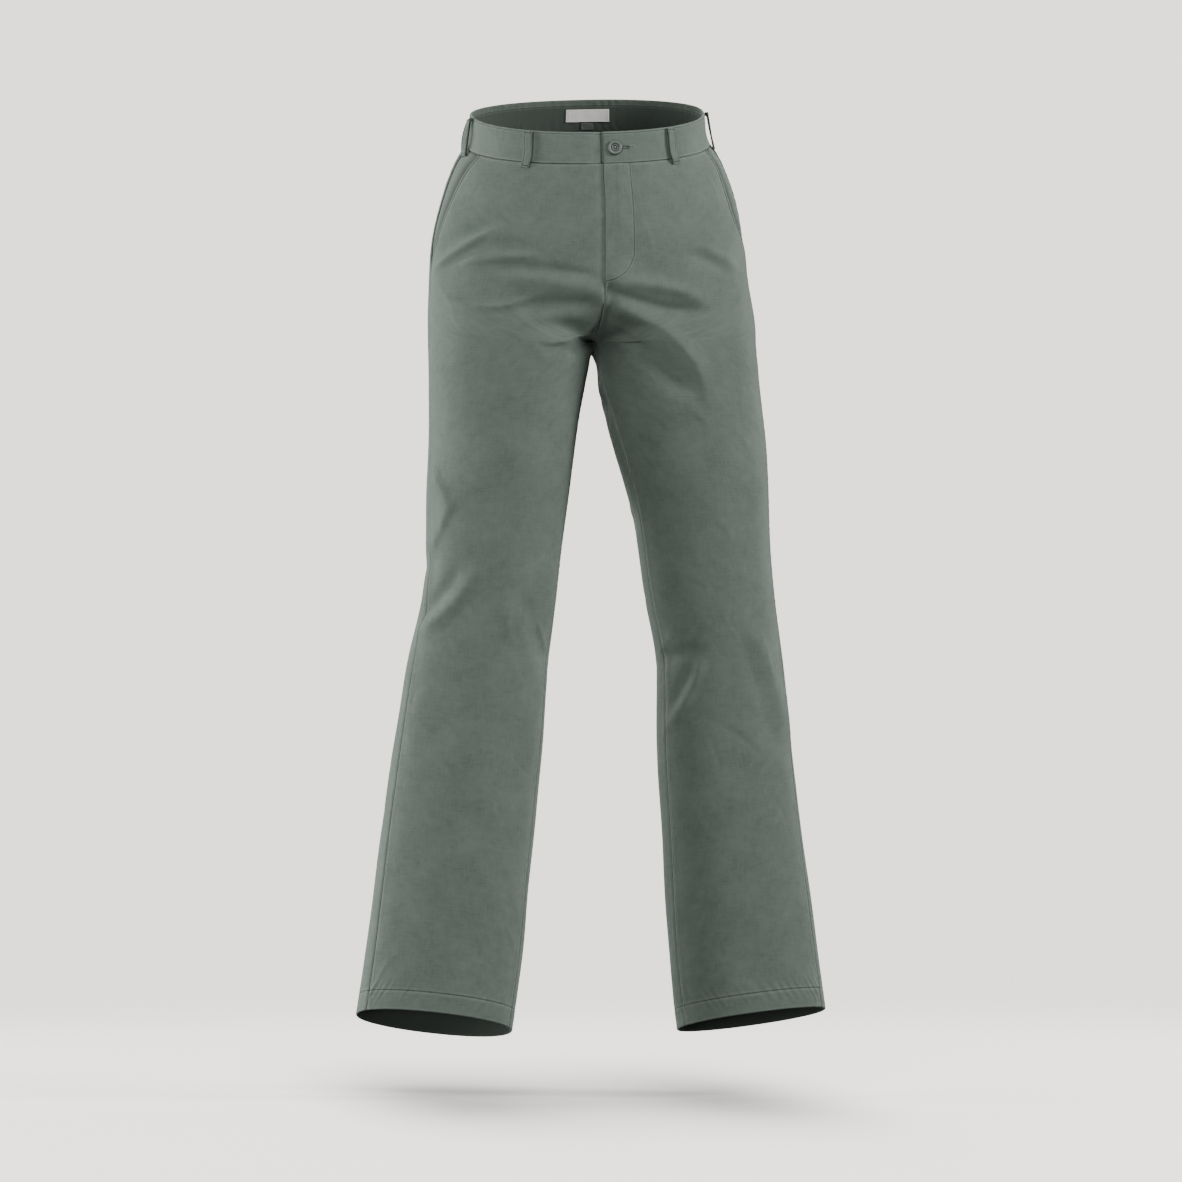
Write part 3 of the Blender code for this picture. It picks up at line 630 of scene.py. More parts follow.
def seamAndShadowDistance(panel):
    z, first, last = panel["z"], panel["firstSewn"], panel["lastSewn"]
    finer = 1 + marks["finerLeg"] * smoothStep(*marks["finerLegFrom"], z)
    finer = finer + marks["finerHip"] * smoothStep(*marks["finerHipFrom"], z)
    # seam lines first; painted shadow lines and light folded edges join them below
    sewn = nearest(onlyWhere(first > 0.5, panel["fromFirst"] * finer),
                   onlyWhere(last > 0.5, panel["fromLast"] * finer))
    if panel["face"] == "front":
        if panel["side"] == "right":  # the cloth beside the lap's edge lies in its shade
            besideLap = np.abs(panel["centre"] + 0.4 * mm) * marks["lap"]
            sewn = nearest(sewn, onlyWhere(first < 0.9, besideLap))
        # the light rim of a folded edge: wear and painted highlight
        sewn = nearest(sewn, onlyWhere(last < 0.5, panel["fromLast"] + marks["worn"]))
        if panel["side"] == "left":
            sewn = nearest(sewn, onlyWhere(first < 0.5, panel["fromFirst"] + marks["worn"]))
    # a dark line under the band: the seam there, and painted shadow from the band's lower edge
    sewn = nearest(sewn, np.abs(z + sizes["bandHeight"]) * marks["underBand"])
    # the hem's folded edge: wear and painted highlight
    return nearest(sewn, np.abs(z - hemEdge) + marks["worn"])


def layPanel(side, face):  # a panel's outer face as a grid, with its cloth coordinates and distances
    onFront = face == "front"
    z = panelHeights()[:, None]
    shares = crowded(panelColumns)[None, :]
    under = fly["tuck"] * lapTall(z) / girth if (face, side) == ("front", "right") else 0 * z
    t = -under + (mouthT(side, z) + under) * shares if onFront else 1 + shares + 0 * z
    zs = z + 0 * t
    base, normals = formAcross(side, t, zs), outwardOf(side, t, zs)
    arc = arcAlong(base)
    mouthSewn = smoothStep(-sizes["mouthDrop"] + 6 * mm, -sizes["mouthDrop"] - 4 * mm, zs)
    panel = {
        "side": side, "face": face, "rows": z[:, 0], "z": zs, "arc": arc,
        "fromFirst": arc, "fromLast": arc[:, -1:] - arc,
        "firstSewn": 1 - lapTall(zs) if onFront else 1 + 0 * zs,
        "lastSewn": mouthSewn if onFront else 1 + 0 * zs,
        "centre": np.linalg.norm(base - bareForm(side, 0 * t, zs), axis=-1) * np.sign(t),
        "aboveHem": zs + sizes["hemDrop"] - sizes["hemDepth"] + marks["hemStitch"],
        "seed": 11 * (1 + list(sideSigns).index(side)) + (0 if onFront else 5),
    }
    panel["mouthStitch"] = panel["fromLast"] - marks["mouthStitch"]
    if (face, side) == ("front", "left"):
        panel["flyStitch"] = signedAway(panel["centre"], zs, flyStitchPath())

    lift = wrapLift(side, t, zs)
    lift = lift + frontLift(base + normals * lift[..., None], normals) + sewingLift(panel)
    if onFront:
        lift = lift + foldedLift(panel)
    meeting = np.abs(panel["centre"]) if onFront else panel["fromLast"]
    closed = bell(zs - closing["at"], closing["tall"]) * smoothStep(*closing["reach"], meeting)
    lift = lift + (closing["swell"] - lift) * closed

    points = base + normals * lift[..., None]
    middle = valuesAt(side, zs)["inner"]
    seam = middle + sideSigns[side] * (sizes["seamTrim"] - under * girth)
    ownSide = np.maximum(sideSigns[side] * points[..., 0], sideSigns[side] * seam) * sideSigns[side]
    points[..., 0] = np.where(zs >= -sizes["crotchDrop"], ownSide, points[..., 0])
    drawn = smoothStep(*closing["drawnOff"], np.abs(points[..., 0] - middle))
    drawn = drawn * smoothStep(*closing["drawnIn"], meeting)
    drawn = drawn * smoothStep(*closing["drawnFoot"], zs) * smoothStep(*closing["drawnHead"], zs)
    points[..., 0] = points[..., 0] + (middle - points[..., 0]) * drawn
    panel.update(fromSeam=seamAndShadowDistance(panel), fromStitch=stitchDistance(panel), shade=crotchShade(points),
                 points=trimmedEdges(points, normals), normals=normals)
    panel["surfaceNormals"] = surfaceNormals(panel["points"], normals)
    return panel


def trimmedEdges(points, normals):
    points = points.copy()
    for edge, beside in ((0, 1), (-1, -2)):
        along = points[:, beside] - points[:, edge]
        along -= normals[:, edge] * np.sum(along * normals[:, edge], axis=-1, keepdims=True)
        points[:, edge] += along / np.linalg.norm(along, axis=-1, keepdims=True) * sizes["seamTrim"]
    return points


def surfaceNormals(points, like):
    normal = unit(np.cross(np.gradient(points, axis=0), np.gradient(points, axis=1)))
    return normal * np.sign(np.sum(normal * like, axis=-1, keepdims=True))


def meshObject(name, points, faces, material, fields=None, uv=None):
    mesh = bpy.data.meshes.new(name)
    faces = faces.tolist() if hasattr(faces, "tolist") else faces
    mesh.from_pydata(points.reshape(-1, 3).tolist(), [], faces)
    for key, field in (fields or {}).items():
        attribute = mesh.attributes.new(key, "FLOAT", "POINT")
        attribute.data.foreach_set("value", np.asarray(field, np.float32).ravel())
    if uv is not None:
        layer = mesh.uv_layers.new(name="cloth")
        corners = np.empty(len(mesh.loops), np.int32)
        mesh.loops.foreach_get("vertex_index", corners)
        layer.data.foreach_set("uv", np.asarray(uv, np.float32).reshape(-1, 2)[corners].ravel())
    mesh.validate()
    mesh.shade_smooth()
    mesh.materials.append(material)
    made = bpy.data.objects.new(name, mesh)
    bpy.context.scene.collection.objects.link(made)
    return made


def gridFaces(rows, columns, wrapRows=False, wrapColumns=False):
    i = np.arange(rows if wrapRows else rows - 1)[:, None]
    j = np.arange(columns if wrapColumns else columns - 1)[None, :]
    i2, j2 = (i + 1) % rows, (j + 1) % columns
    corners = [i * columns + j, i2 * columns + j, i2 * columns + j2, i * columns + j2]
    return np.stack(corners, -1).reshape(-1, 4)


def tubeCaps(rows, columns):  # the two ends of a tube whose rows are rings
    return [list(range(columns)), list(range(rows * columns - 1, (rows - 1) * columns - 1, -1))]


def foldedFaces(rows, columns, clockwise):
    # a grid whose rows run down one side of a wall and up its other, closed along its top and both edges
    around = gridFaces(rows, columns, wrapRows=True)
    i = np.arange(rows // 2 - 1)
    j = rows - 1 - i
    first = np.stack([i * columns, j * columns, (j - 1) * columns, (i + 1) * columns], -1)
    last = np.stack([i * columns, (i + 1) * columns, (j - 1) * columns, j * columns], -1) + columns - 1
    faces = np.concatenate([around, first, last])
    return faces[:, ::-1] if clockwise else faces


def sewPanel(panel, material):
    # the cloth goes down the outside, round the hem's fold and up the inside, where the turn-up ends
    points, normals, z = panel["points"], panel["normals"], panel["rows"]
    half = sizes["hemWall"] / 2
    foldAngles = np.linspace(0, math.pi, 8)[1:-1]
    down = points[-1] - points[-2]
    down /= np.linalg.norm(down, axis=-1, keepdims=True)
    fold = [points[-1] - normals[-1] * half * (1 - math.cos(a)) + down * half * math.sin(a)
            for a in foldAngles]
    turnUp = -sizes["hemDrop"] + sizes["hemDepth"]
    wall = sizes["wall"] + (sizes["hemWall"] - sizes["wall"]) * smoothStep(turnUp + 1.2 * mm, turnUp, z)
    inner = points - normals * wall[:, None, None]
    grid = np.concatenate([points, np.array(fold), inner[::-1]])

    def throughFold(field, inside=None):
        middle = np.repeat(field[-1:], len(fold), axis=0)
        return np.concatenate([field, middle, field[::-1] if inside is None else inside])

    inside = np.full(inner.shape[:2], noLine["panel"])
    insideStitch = nearest((z - turnUp)[::-1, None] + 0 * inside, inside)
    u = throughFold(panel["arc"])
    v = np.concatenate([z, z[-1] - half * foldAngles, z[::-1] - 1.0])[:, None] + 0 * u
    # the inside is darker: the cloth's reverse side and painted shade
    reverseAndShade = np.repeat([0.0, 0.5, 1.0], [len(points), len(fold), len(inner)])[:, None] + 0 * u
    fields = {"fromStitch": throughFold(panel["fromStitch"], insideStitch) / mm,
              "fromSeam": throughFold(panel["fromSeam"]) / mm,
              "reverseAndShade": reverseAndShade, "shade": throughFold(panel["shade"])}
    rows, columns = grid.shape[:2]
    name = f"{panel['face']}Cloth_{panel['side']}"
    faces = foldedFaces(rows, columns, panel["side"] == "right")
    return meshObject(name, grid, faces, material, fields, np.stack([u, v], -1))


def wallObject(name, points, normals, material, clockwise, shade=0.0):
    # a sheet whose outer face is points, and whose wall grows inward
    grid = np.concatenate([points, (points - normals * sizes["wall"])[::-1]])
    rows, columns = grid.shape[:2]
    arc = arcAlong(points)
    u = np.concatenate([arc, arc[::-1]])
    down = runAlong(points[:, columns // 2])
    v = np.concatenate([down, down[::-1] + 0.7])[:, None] + 0 * u
    plain = np.full(grid.shape[:2], noLine["strip"] / mm)
    fields = {"fromStitch": plain, "fromSeam": plain,
              # the inner face is darker: the cloth's reverse side and painted shade
              "reverseAndShade": np.concatenate([0 * arc, 1 + 0 * arc]),
              "shade": np.concatenate([shade + 0 * arc, 0 * arc])}
    faces = foldedFaces(rows, columns, clockwise)
    return meshObject(name, grid, faces, material, fields, np.stack([u, v], -1))


def onPanel(panel, arcs, heights, measure="arc"):
    # points and normals of the panel's outer face at these cloth coordinates
    found, out = [], []
    rows = panel["rows"]
    for arc, z in zip(arcs, heights):
        r = float(np.interp(-z, -rows, np.arange(len(rows))))
        i = min(int(r), len(rows) - 2)
        pair = []
        for row in (i, i + 1):
            c = float(np.interp(arc, panel[measure][row], np.arange(panelColumns)))
            j = min(int(c), panelColumns - 2)
            pair.append([(1 - c + j) * grid[row, j] + (c - j) * grid[row, j + 1]
                         for grid in (panel["points"], panel["surfaceNormals"])])
        point, normal = [(1 - r + i) * a + (r - i) * b for a, b in zip(*pair)]
        found.append(point)
        out.append(normal / np.linalg.norm(normal))
    return np.array(found), np.array(out)


# sewing: each stitch is a short strand whose ends go into the cloth
thread = {
    "radius": 0.3 * mm,
    "length": 2.7 * mm,
    "pitch": 3.3 * mm,
    "sides": 6,
    # share of the way along the stitch, and height out of the cloth in radii
    "arch": ((0, -0.9), (0.14, 0.25), (0.5, 0.6), (0.86, 0.25), (1, -0.9)),
}


def strands(centres, normals, radius):
    # tubes through centres, an array of strands by rings by 3, closed at both ends
    count, rings = centres.shape[:2]
    along = unit(np.gradient(centres, axis=1))
    beside = unit(np.cross(along, normals))
    up = np.cross(beside, along)
    taper = radius * np.sqrt(np.clip(1 - (2 * np.linspace(0.04, 0.96, rings) - 1)**4, 0, 1))
    sides = thread["sides"]
    turn = np.arange(sides) * math.tau / sides
    ring = (up[:, :, None] * np.cos(turn)[None, None, :, None] +
            beside[:, :, None] * np.sin(turn)[None, None, :, None])
    points = centres[:, :, None] + ring * taper[None, :, None, None]
    starts = np.arange(count) * rings * sides
    faces = (gridFaces(rings, sides, wrapColumns=True)[None] + starts[:, None, None]).reshape(-1, 4).tolist()
    cap = np.arange(sides)
    for start in starts:
        faces.append((cap + start).tolist())
        faces.append((cap[::-1] + start + (rings - 1) * sides).tolist())
    return points.reshape(-1, 3), faces


def stitchStrands(points, normals, pitch=thread["pitch"], length=thread["length"]):
    # ring centres of the stitches along a path
    s = runAlong(points)
    count = int(s[-1] / pitch)
    share, rise = np.array(thread["arch"]).T
    where = ((np.arange(count) + 0.5) * s[-1] / count - length / 2)[:, None] + share * length
    at = np.stack([np.interp(where, s, points[:, k]) for k in range(3)], -1)
    out = np.stack([np.interp(where, s, normals[:, k]) for k in range(3)], -1)
    return at + out * (thread["radius"] * rise)[:, None], out


def sewStitches(name, paths, radius=thread["radius"], **sewing):
    centres, out = zip(*[stitchStrands(points, normals, **sewing) for points, normals in paths])
    points, faces = strands(np.concatenate(centres), np.concatenate(out), radius)
    settle(meshObject(name, points, faces, tonalThread), None)


def addNode(tree, kind, inputs=None, **settings):
    node = tree.nodes.new(kind)
    for key, value in settings.items():
        setattr(node, key, value)
    for key, value in (inputs or {}).items():
        if isinstance(value, bpy.types.NodeSocket):
            tree.links.new(value, node.inputs[key])
        else:
            node.inputs[key].default_value = value
    return node


def maths(tree, operation, *values, clamp=False):
    node = addNode(tree, "ShaderNodeMath", dict(enumerate(values)), operation=operation, use_clamp=clamp)
    return node.outputs[0]


def times(tree, first, second):
    return maths(tree, "MULTIPLY", first, second)


def stretched(tree, value, gain, offset):  # more contrast, kept within 0 and 1
    return maths(tree, "MULTIPLY_ADD", value, gain, offset, clamp=True)


def mixColours(tree, factor, first, second):
    colours = {key: value if isinstance(value, bpy.types.NodeSocket) else (*value, 1)
               for key, value in ((6, first), (7, second))}
    node = addNode(tree, "ShaderNodeMix", {0: factor, **colours}, data_type="RGBA", clamp_factor=True)
    return node.outputs[2]


def newGroup(name, inputs, outputs):
    tree = bpy.data.node_groups.new(name, "ShaderNodeTree")
    for label, kind, value in inputs:
        socket = tree.interface.new_socket(name=label, in_out="INPUT", socket_type=f"NodeSocket{kind}")
        if value is not None:
            socket.default_value = value
    for label in outputs:
        tree.interface.new_socket(name=label, in_out="OUTPUT", socket_type="NodeSocketFloat")
    return tree, tree.nodes.new("NodeGroupInput").outputs, tree.nodes.new("NodeGroupOutput").inputs


def noiseAt(tree, vector, scale, detail=2.0, roughness=0.5, stretch=(1, 1, 1)):
    mapping = addNode(tree, "ShaderNodeMapping", {"Vector": vector, "Scale": stretch})
    noise = addNode(tree, "ShaderNodeTexNoise", {"Vector": mapping.outputs[0], "Scale": scale,
                                                 "Detail": detail, "Roughness": roughness})
    return noise.outputs[0]


def attributeOf(tree, name):
    return addNode(tree, "ShaderNodeAttribute", attribute_name=name).outputs["Fac"]


def buildTwillWeave():
    # slanting ribs of a twill: raised threads, broken where the weft crosses
    tree, given, out = newGroup("twillWeave", [("Cloth", "Vector", None), ("Rib Pitch", "Float", 0.75 * mm)],
                                ["Height", "Rib"])
    place = addNode(tree, "ShaderNodeSeparateXYZ", {"Vector": given["Cloth"]}).outputs
    drift = noiseAt(tree, given["Cloth"], 260)
    u = maths(tree, "DIVIDE", place[0], given["Rib Pitch"])
    v = maths(tree, "DIVIDE", place[1], given["Rib Pitch"])
    slant = maths(tree, "ADD", maths(tree, "MULTIPLY_ADD", v, 0.55, u), times(tree, drift, 1.2))
    rib = maths(tree, "MULTIPLY_ADD", maths(tree, "SINE", times(tree, slant, math.tau)), 0.5, 0.5)
    weft = maths(tree, "MULTIPLY_ADD", maths(tree, "SINE", times(tree, v, math.tau * 1.1)), 0.2, 0.8)
    tree.links.new(times(tree, rib, weft), out["Height"])
    tree.links.new(rib, out["Rib"])
    return tree


def buildWashedCloth():
    # uneven dye of washed cotton: clouds, and fine streaks along warp and weft
    tree, given, out = newGroup("washedCloth", [("Cloth", "Vector", None)], ["Clouds", "Streaks", "Fuzz"])
    broad = noiseAt(tree, given["Cloth"], 22, 4.0, 0.6)
    fine = noiseAt(tree, given["Cloth"], 95, 3.0, 0.6)
    warp = noiseAt(tree, given["Cloth"], 60, 3.0, 0.7, (9, 1, 1))
    weft = noiseAt(tree, given["Cloth"], 60, 3.0, 0.7, (1, 9, 1))
    tree.links.new(maths(tree, "ADD", times(tree, broad, 0.6), times(tree, fine, 0.4)), out["Clouds"])
    tree.links.new(times(tree, maths(tree, "ADD", warp, weft), 0.5), out["Streaks"])
    tree.links.new(noiseAt(tree, given["Cloth"], 900, 2.0, 0.6), out["Fuzz"])
    return tree


def buildSeamAndShadowMarks():
    # from the distances, in mm, to a seam or painted shadow line and to a line of stitching: a dark line, and
    # lighter cloth beside it, which is wear, and on folded edges painted highlight too
    tree, given, out = newGroup(
        "seamAndShadowMarks", [("From Seam", "Float", 50.0), ("From Stitch", "Float", 50.0), ("Cloth", "Vector", None),
                      ("Line Width", "Float", 0.6), ("Wear Reach", "Float", 2.6)], ["Line", "Wear And Highlight"])
    seam, stitch = [maths(tree, "DIVIDE", maths(tree, "ABSOLUTE", given[label]), given["Line Width"])
                    for label in ("From Seam", "From Stitch")]
    near = maths(tree, "MINIMUM", seam, stitch)
    line = maths(tree, "SUBTRACT", 1.0, maths(tree, "SMOOTH_MIN", near, 1.0, 0.3), clamp=True)
    reach = maths(tree, "DIVIDE", times(tree, near, given["Line Width"]), given["Wear Reach"])
    close = maths(tree, "SUBTRACT", 1.0, reach, clamp=True)
    patchy = stretched(tree, noiseAt(tree, given["Cloth"], 170, 3.0, 0.7), 2.4, -0.75)
    patchy = maths(tree, "MULTIPLY_ADD", patchy, 0.6, 0.4)
    wearAndHighlight = times(tree, times(tree, close, patchy), maths(tree, "SUBTRACT", 1.0, line))
    tree.links.new(line, out["Line"])
    tree.links.new(wearAndHighlight, out["Wear And Highlight"])
    return tree


weaveGroup, washGroup, marksGroup = buildTwillWeave(), buildWashedCloth(), buildSeamAndShadowMarks()


def newMaterial(name, **shading):
    material = bpy.data.materials.new(name)
    material.use_nodes = True
    tree = material.node_tree
    shader = tree.nodes["Principled BSDF"]
    for key, value in shading.items():
        shader.inputs[key.replace("_", " ")].default_value = value
    return material, tree, shader


def useGroup(tree, group, **inputs):
    node = tree.nodes.new("ShaderNodeGroup")
    node.node_tree = group
    for key, value in inputs.items():
        tree.links.new(value, node.inputs[key.replace("_", " ")])
    return node.outputs


def finish(tree, shader, colour, height, strength, distance):  # colour and bump onto the shader
    tree.links.new(colour, shader.inputs["Base Color"])
    bump = addNode(tree, "ShaderNodeBump", {"Height": height, "Strength": strength, "Distance": distance})
    tree.links.new(bump.outputs[0], shader.inputs["Normal"])


twillLook = {
    "colour": (0.118, 0.154, 0.127),
    "dark": (0.078, 0.104, 0.086),
    "light": (0.175, 0.215, 0.184),
    # the light of worn cloth, also the painted highlight on folded edges
    "worn": (0.27, 0.315, 0.28),
    # the dark of seams and stitching, also used for painted shade and painted shadow lines
    "line": (0.026, 0.036, 0.03),
    # the inside: the cloth's duller reverse, darkened further with painted shade
    "reverseAndShade": (0.05, 0.062, 0.051),
    "sheenTint": (0.75, 0.85, 0.78),
    "evenness": 0.5,
    "lightStreaks": 0.38,
    "darkStreaks": 0.42,
    "ribShare": 0.12,
    "wearAndHighlightShare": 0.5,
    "reverseAndShadeShare": 0.85,
    "shadeShare": 0.8,
    "lineShare": 0.85,
    "weaveBump": 0.18,
    "fuzzBump": 0.12,
    "lineBump": -1.2,
}


def twillMaterial():
    look = twillLook
    material, tree, shader = newMaterial("sageTwill", Roughness=0.88, Sheen_Weight=0.32, Sheen_Roughness=0.45,
                                         Specular_IOR_Level=0.25, Sheen_Tint=(*look["sheenTint"], 1))
    cloth = addNode(tree, "ShaderNodeUVMap", uv_map="cloth").outputs[0]
    weave = useGroup(tree, weaveGroup, Cloth=cloth)
    wash = useGroup(tree, washGroup, Cloth=cloth)
    lines = useGroup(tree, marksGroup, From_Seam=attributeOf(tree, "fromSeam"),
                     From_Stitch=attributeOf(tree, "fromStitch"), Cloth=cloth)
    colour = mixColours(tree, stretched(tree, wash["Clouds"], 3.0, -1.0), look["dark"], look["light"])
    colour = mixColours(tree, look["evenness"], colour, look["colour"])
    # painted shade comes in through the reverse, shade and line masks; painted highlight comes in through the
    # wear mask on folded edges
    for mask, share, towards in (
            (stretched(tree, wash["Streaks"], 5.0, -2.1), "lightStreaks", "light"),
            (stretched(tree, wash["Streaks"], -5.0, 2.1), "darkStreaks", "dark"),
            (weave["Rib"], "ribShare", "light"),
            (lines["Wear And Highlight"], "wearAndHighlightShare", "worn"),
            (attributeOf(tree, "reverseAndShade"), "reverseAndShadeShare", "reverseAndShade"),
            (attributeOf(tree, "shade"), "shadeShare", "line"),
            (lines["Line"], "lineShare", "line")):
        colour = mixColours(tree, times(tree, mask, look[share]), colour, look[towards])
    height = times(tree, weave["Height"], look["weaveBump"])
    height = maths(tree, "MULTIPLY_ADD", wash["Fuzz"], look["fuzzBump"], height)
    height = maths(tree, "MULTIPLY_ADD", lines["Line"], look["lineBump"], height)
    finish(tree, shader, colour, height, 0.6, 0.4 * mm)
    return material


def threadMaterial(dark=(0.04, 0.054, 0.045), light=(0.1, 0.128, 0.108)):
    material, tree, shader = newMaterial("tonalThread", Roughness=0.6, Sheen_Weight=0.2)
    fibres = noiseAt(tree, addNode(tree, "ShaderNodeTexCoord").outputs["Object"], 1800, 3.0, 0.7)
    colour = mixColours(tree, stretched(tree, fibres, 2.0, -0.5), dark, light)
    finish(tree, shader, colour, fibres, 0.5, 0.1 * mm)
    return material


def buttonMaterial(dark=(0.125, 0.158, 0.137), light=(0.185, 0.228, 0.198), grooveShade=(0.022, 0.03, 0.025)):
    material, tree, shader = newMaterial("tonalButton", Roughness=0.36, Specular_IOR_Level=0.5)
    place = addNode(tree, "ShaderNodeTexCoord").outputs["Object"]
    swirl, speck = noiseAt(tree, place, 320, 4.0, 0.6), noiseAt(tree, place, 1500, 2.0, 0.6)
    colour = mixColours(tree, stretched(tree, swirl, 3.0, -1.0), dark, light)
    # painted shade in the grooves, round the rim and on the back
    colour = mixColours(tree, times(tree, attributeOf(tree, "dark"), 0.82), colour, grooveShade)
    tree.links.new(maths(tree, "MULTIPLY_ADD", speck, 0.22, 0.3), shader.inputs["Roughness"])
    finish(tree, shader, colour, speck, 0.12, 0.1 * mm)
    return material


def wovenMaterial(name, ground, border, pitch):
    # a woven satin patch: fine weft ribs, and a border where the field says so
    material, tree, shader = newMaterial(name, Roughness=0.55, Sheen_Weight=0.25)
    cloth = addNode(tree, "ShaderNodeUVMap", uv_map="cloth").outputs[0]
    place = addNode(tree, "ShaderNodeSeparateXYZ", {"Vector": cloth}).outputs
    rib = maths(tree, "SINE", times(tree, place[1], math.tau / pitch))
    cross = maths(tree, "SINE", times(tree, place[0], math.tau / (1.7 * pitch)))
    weave = maths(tree, "MULTIPLY_ADD", times(tree, rib, cross), 0.5, 0.5)
    onRim = maths(tree, "LESS_THAN", maths(tree, "ABSOLUTE", attributeOf(tree, "fromStitch")), 0.5)
    colour = mixColours(tree, times(tree, weave, 0.35), ground, border)
    colour = mixColours(tree, times(tree, onRim, 0.8), colour, border)
    finish(tree, shader, colour, weave, 0.5, 0.12 * mm)
    return material


twill, tonalThread, tonalButton = twillMaterial(), threadMaterial(), buttonMaterial()
labelSatin = wovenMaterial("labelSatin", (0.87, 0.85, 0.81), (0.94, 0.93, 0.89), 0.5 * mm)
tabCloth = wovenMaterial("tabCloth", (0.07, 0.085, 0.075), (0.13, 0.15, 0.135), 0.45 * mm)


def settle(piece, node):
    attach(piece, "root")
    if node:
        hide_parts(node)


def areaOf(points):
    down, along = points[1:, :-1] - points[:-1, :-1], points[:-1, 1:] - points[:-1, :-1]
    return float(np.linalg.norm(np.cross(down, along), axis=-1).sum())


def declareCloth(points, turnedUnder=0.0):
    # the flat size it was cut to: widest row by longest column, with what is turned under
    widths = arcAlong(points)[:, -1]
    width = float(widths.max())
    length = float(np.linalg.norm(np.diff(points, axis=0), axis=-1).sum(axis=0).max()) + turnedUnder
    area = min(areaOf(points) + float(widths[-1]) * turnedUnder, width * length)


panels = {}
for side in sideSigns:
    for face in ("front", "back"):
        panel = layPanel(side, face)
        piece = sewPanel(panel, twill)
        settle(piece, f"{face}_{side}")
        declareCloth(panel["points"], sizes["hemDepth"])
        panels[face, side] = panel
        print(f"{face} {side}: {len(piece.data.polygons)} faces")


def bandSurface(angles, heights, lift):
    # points and normals on the waist, angles round from the centre front, positive to the wearer's left
    angles = (np.asarray(angles, float) + 180) % 360 - 180
    angles, heights, lift = np.broadcast_arrays(angles, heights, lift)
    t = np.abs(angles) / 90
    points, normals = np.zeros((*t.shape, 3)), np.zeros((*t.shape, 3))
    for side in sideSigns:
        mine = (angles >= 0) == (side == "left")
        if mine.any():
            points[mine] = bareForm(side, t[mine], heights[mine])
            normals[mine] = outwardOf(side, t[mine], heights[mine])
    return points + normals * lift[..., None], normals


def degreesRound(arc, atBack=False):  # the angle this far round the band from the centre front or back
    shares = np.linspace(0, 0.5, 200)
    side = "left" if arc >= 0 else "right"
    run = bareForm(side, 2 - shares if atBack else shares, -sizes["bandHeight"] / 2)
    share = float(np.interp(abs(arc), np.linalg.norm(run - run[0], axis=-1), shares))
    return sideSigns[side] * 90 * (2 - share if atBack else share)


def angleSeen(side, seen, z):  # the angle round the waist of a point seen this far across, in mm
    shares = np.linspace(0, 0.8, 200)
    across = seenAcross(bareForm(side, shares, z))
    order = np.argsort(across)
    return sideSigns[side] * 90 * float(np.interp(seen * mm, across[order], shares[order]))


band = {
    "underlap": 35 * mm,
    "ramp": 24 * mm,
    "crown": 0.35 * mm,
    "edgeStitch": 2.2 * mm,
    "edgeDent": 0.25 * mm,
    "insideStitch": 7.5 * mm,
    "insideDent": 0.3 * mm,
    "pucker": 0.24 * mm,
    "puckerReach": 6 * mm,
    "puckerInside": 2.6,  # how much more the inner face ripples
    "waves": 0.32 * mm,
    "creases": 70,
    "creaseHeight": 0.3 * mm,
    "calmTip": (36 * mm, 52 * mm),  # flat round the button
    "rim": 1.1 * mm,
    "faceRows": 15,
    "lip": 4.2 * mm,
    "lipWall": 0.6 * mm,
    "lipFrom": 102,
    "lipFull": 108,
    "degree": 2.13 * mm,  # cloth along for each degree round
}
buttonhole = {
    "from": 21 * mm,
    "to": 29 * mm,
    "below": 18 * mm,
    "half": 1.2 * mm,
    "pitch": 0.55 * mm,
    "radius": 0.24 * mm,
    "slitAt": 24.5 * mm,
    "slitHalf": 4.5 * mm,
}
loops = {
    "width": 11 * mm,
    "top": -1.5 * mm,
    "below": 7.5 * mm,
    "edgeStitch": 1.9 * mm,
    "headTack": 1.9 * mm,
    "footTack": 2.2 * mm,
    "headLift": 2.2 * mm,
    "footLift": 0.6 * mm,
    "fillFade": (2 * mm, 4 * mm),
}
loopFoot = -sizes["bandHeight"] - loops["below"]
loopBend = -sizes["bandHeight"] - 4 * mm
# in degrees and mm
loopColumns = ("name", "angle", "footAngle", "onFacing", "bulge", "wall", "twist", "stand")
loopPlaces = asRows(loopColumns, (
    ("front_right", angleSeen("right", -67.7, loops["top"]), angleSeen("right", -72.5, loopFoot),
     0, 2.6, 1.7, 0, 0),
    ("front_left", angleSeen("left", 93.3, loops["top"]), angleSeen("left", 101.4, loopFoot),
     0, 3.0, 1.7, 0, 0),
    ("side_right", -84, -84, 1, 1.8, 2.4, 24, 1),
    ("side_left", 85, 85, 1, -0.6, 2.0, 0, 1),
    ("back", 180, 180, 0, 2.6, 1.7, 0, 0),
))


def bandCourse():  # angles along the strip, how far it is tucked under at each, and how thin it ends
    start, ramp = degreesRound(band["underlap"]), degreesRound(band["ramp"])
    under = np.linspace(start, 0.6, 24)
    rising = np.linspace(-0.6, -ramp, 26)[:-1]
    roundBack = np.linspace(-ramp, -180, 260)
    home = np.linspace(180, 0.35, 290)[1:]
    tip = np.array([0.2, 0.08, 0.0])
    angles = np.concatenate([under, rising, roundBack, home, tip])
    tucked = np.concatenate([np.ones(len(under)), 1 - smoothStep(0, ramp, -rising),
                             np.zeros(len(roundBack) + len(home) + len(tip))])
    slim = np.concatenate([np.ones(len(angles) - len(tip)), [0.85, 0.55, 0.3]])
    return angles, tucked, slim, len(under)


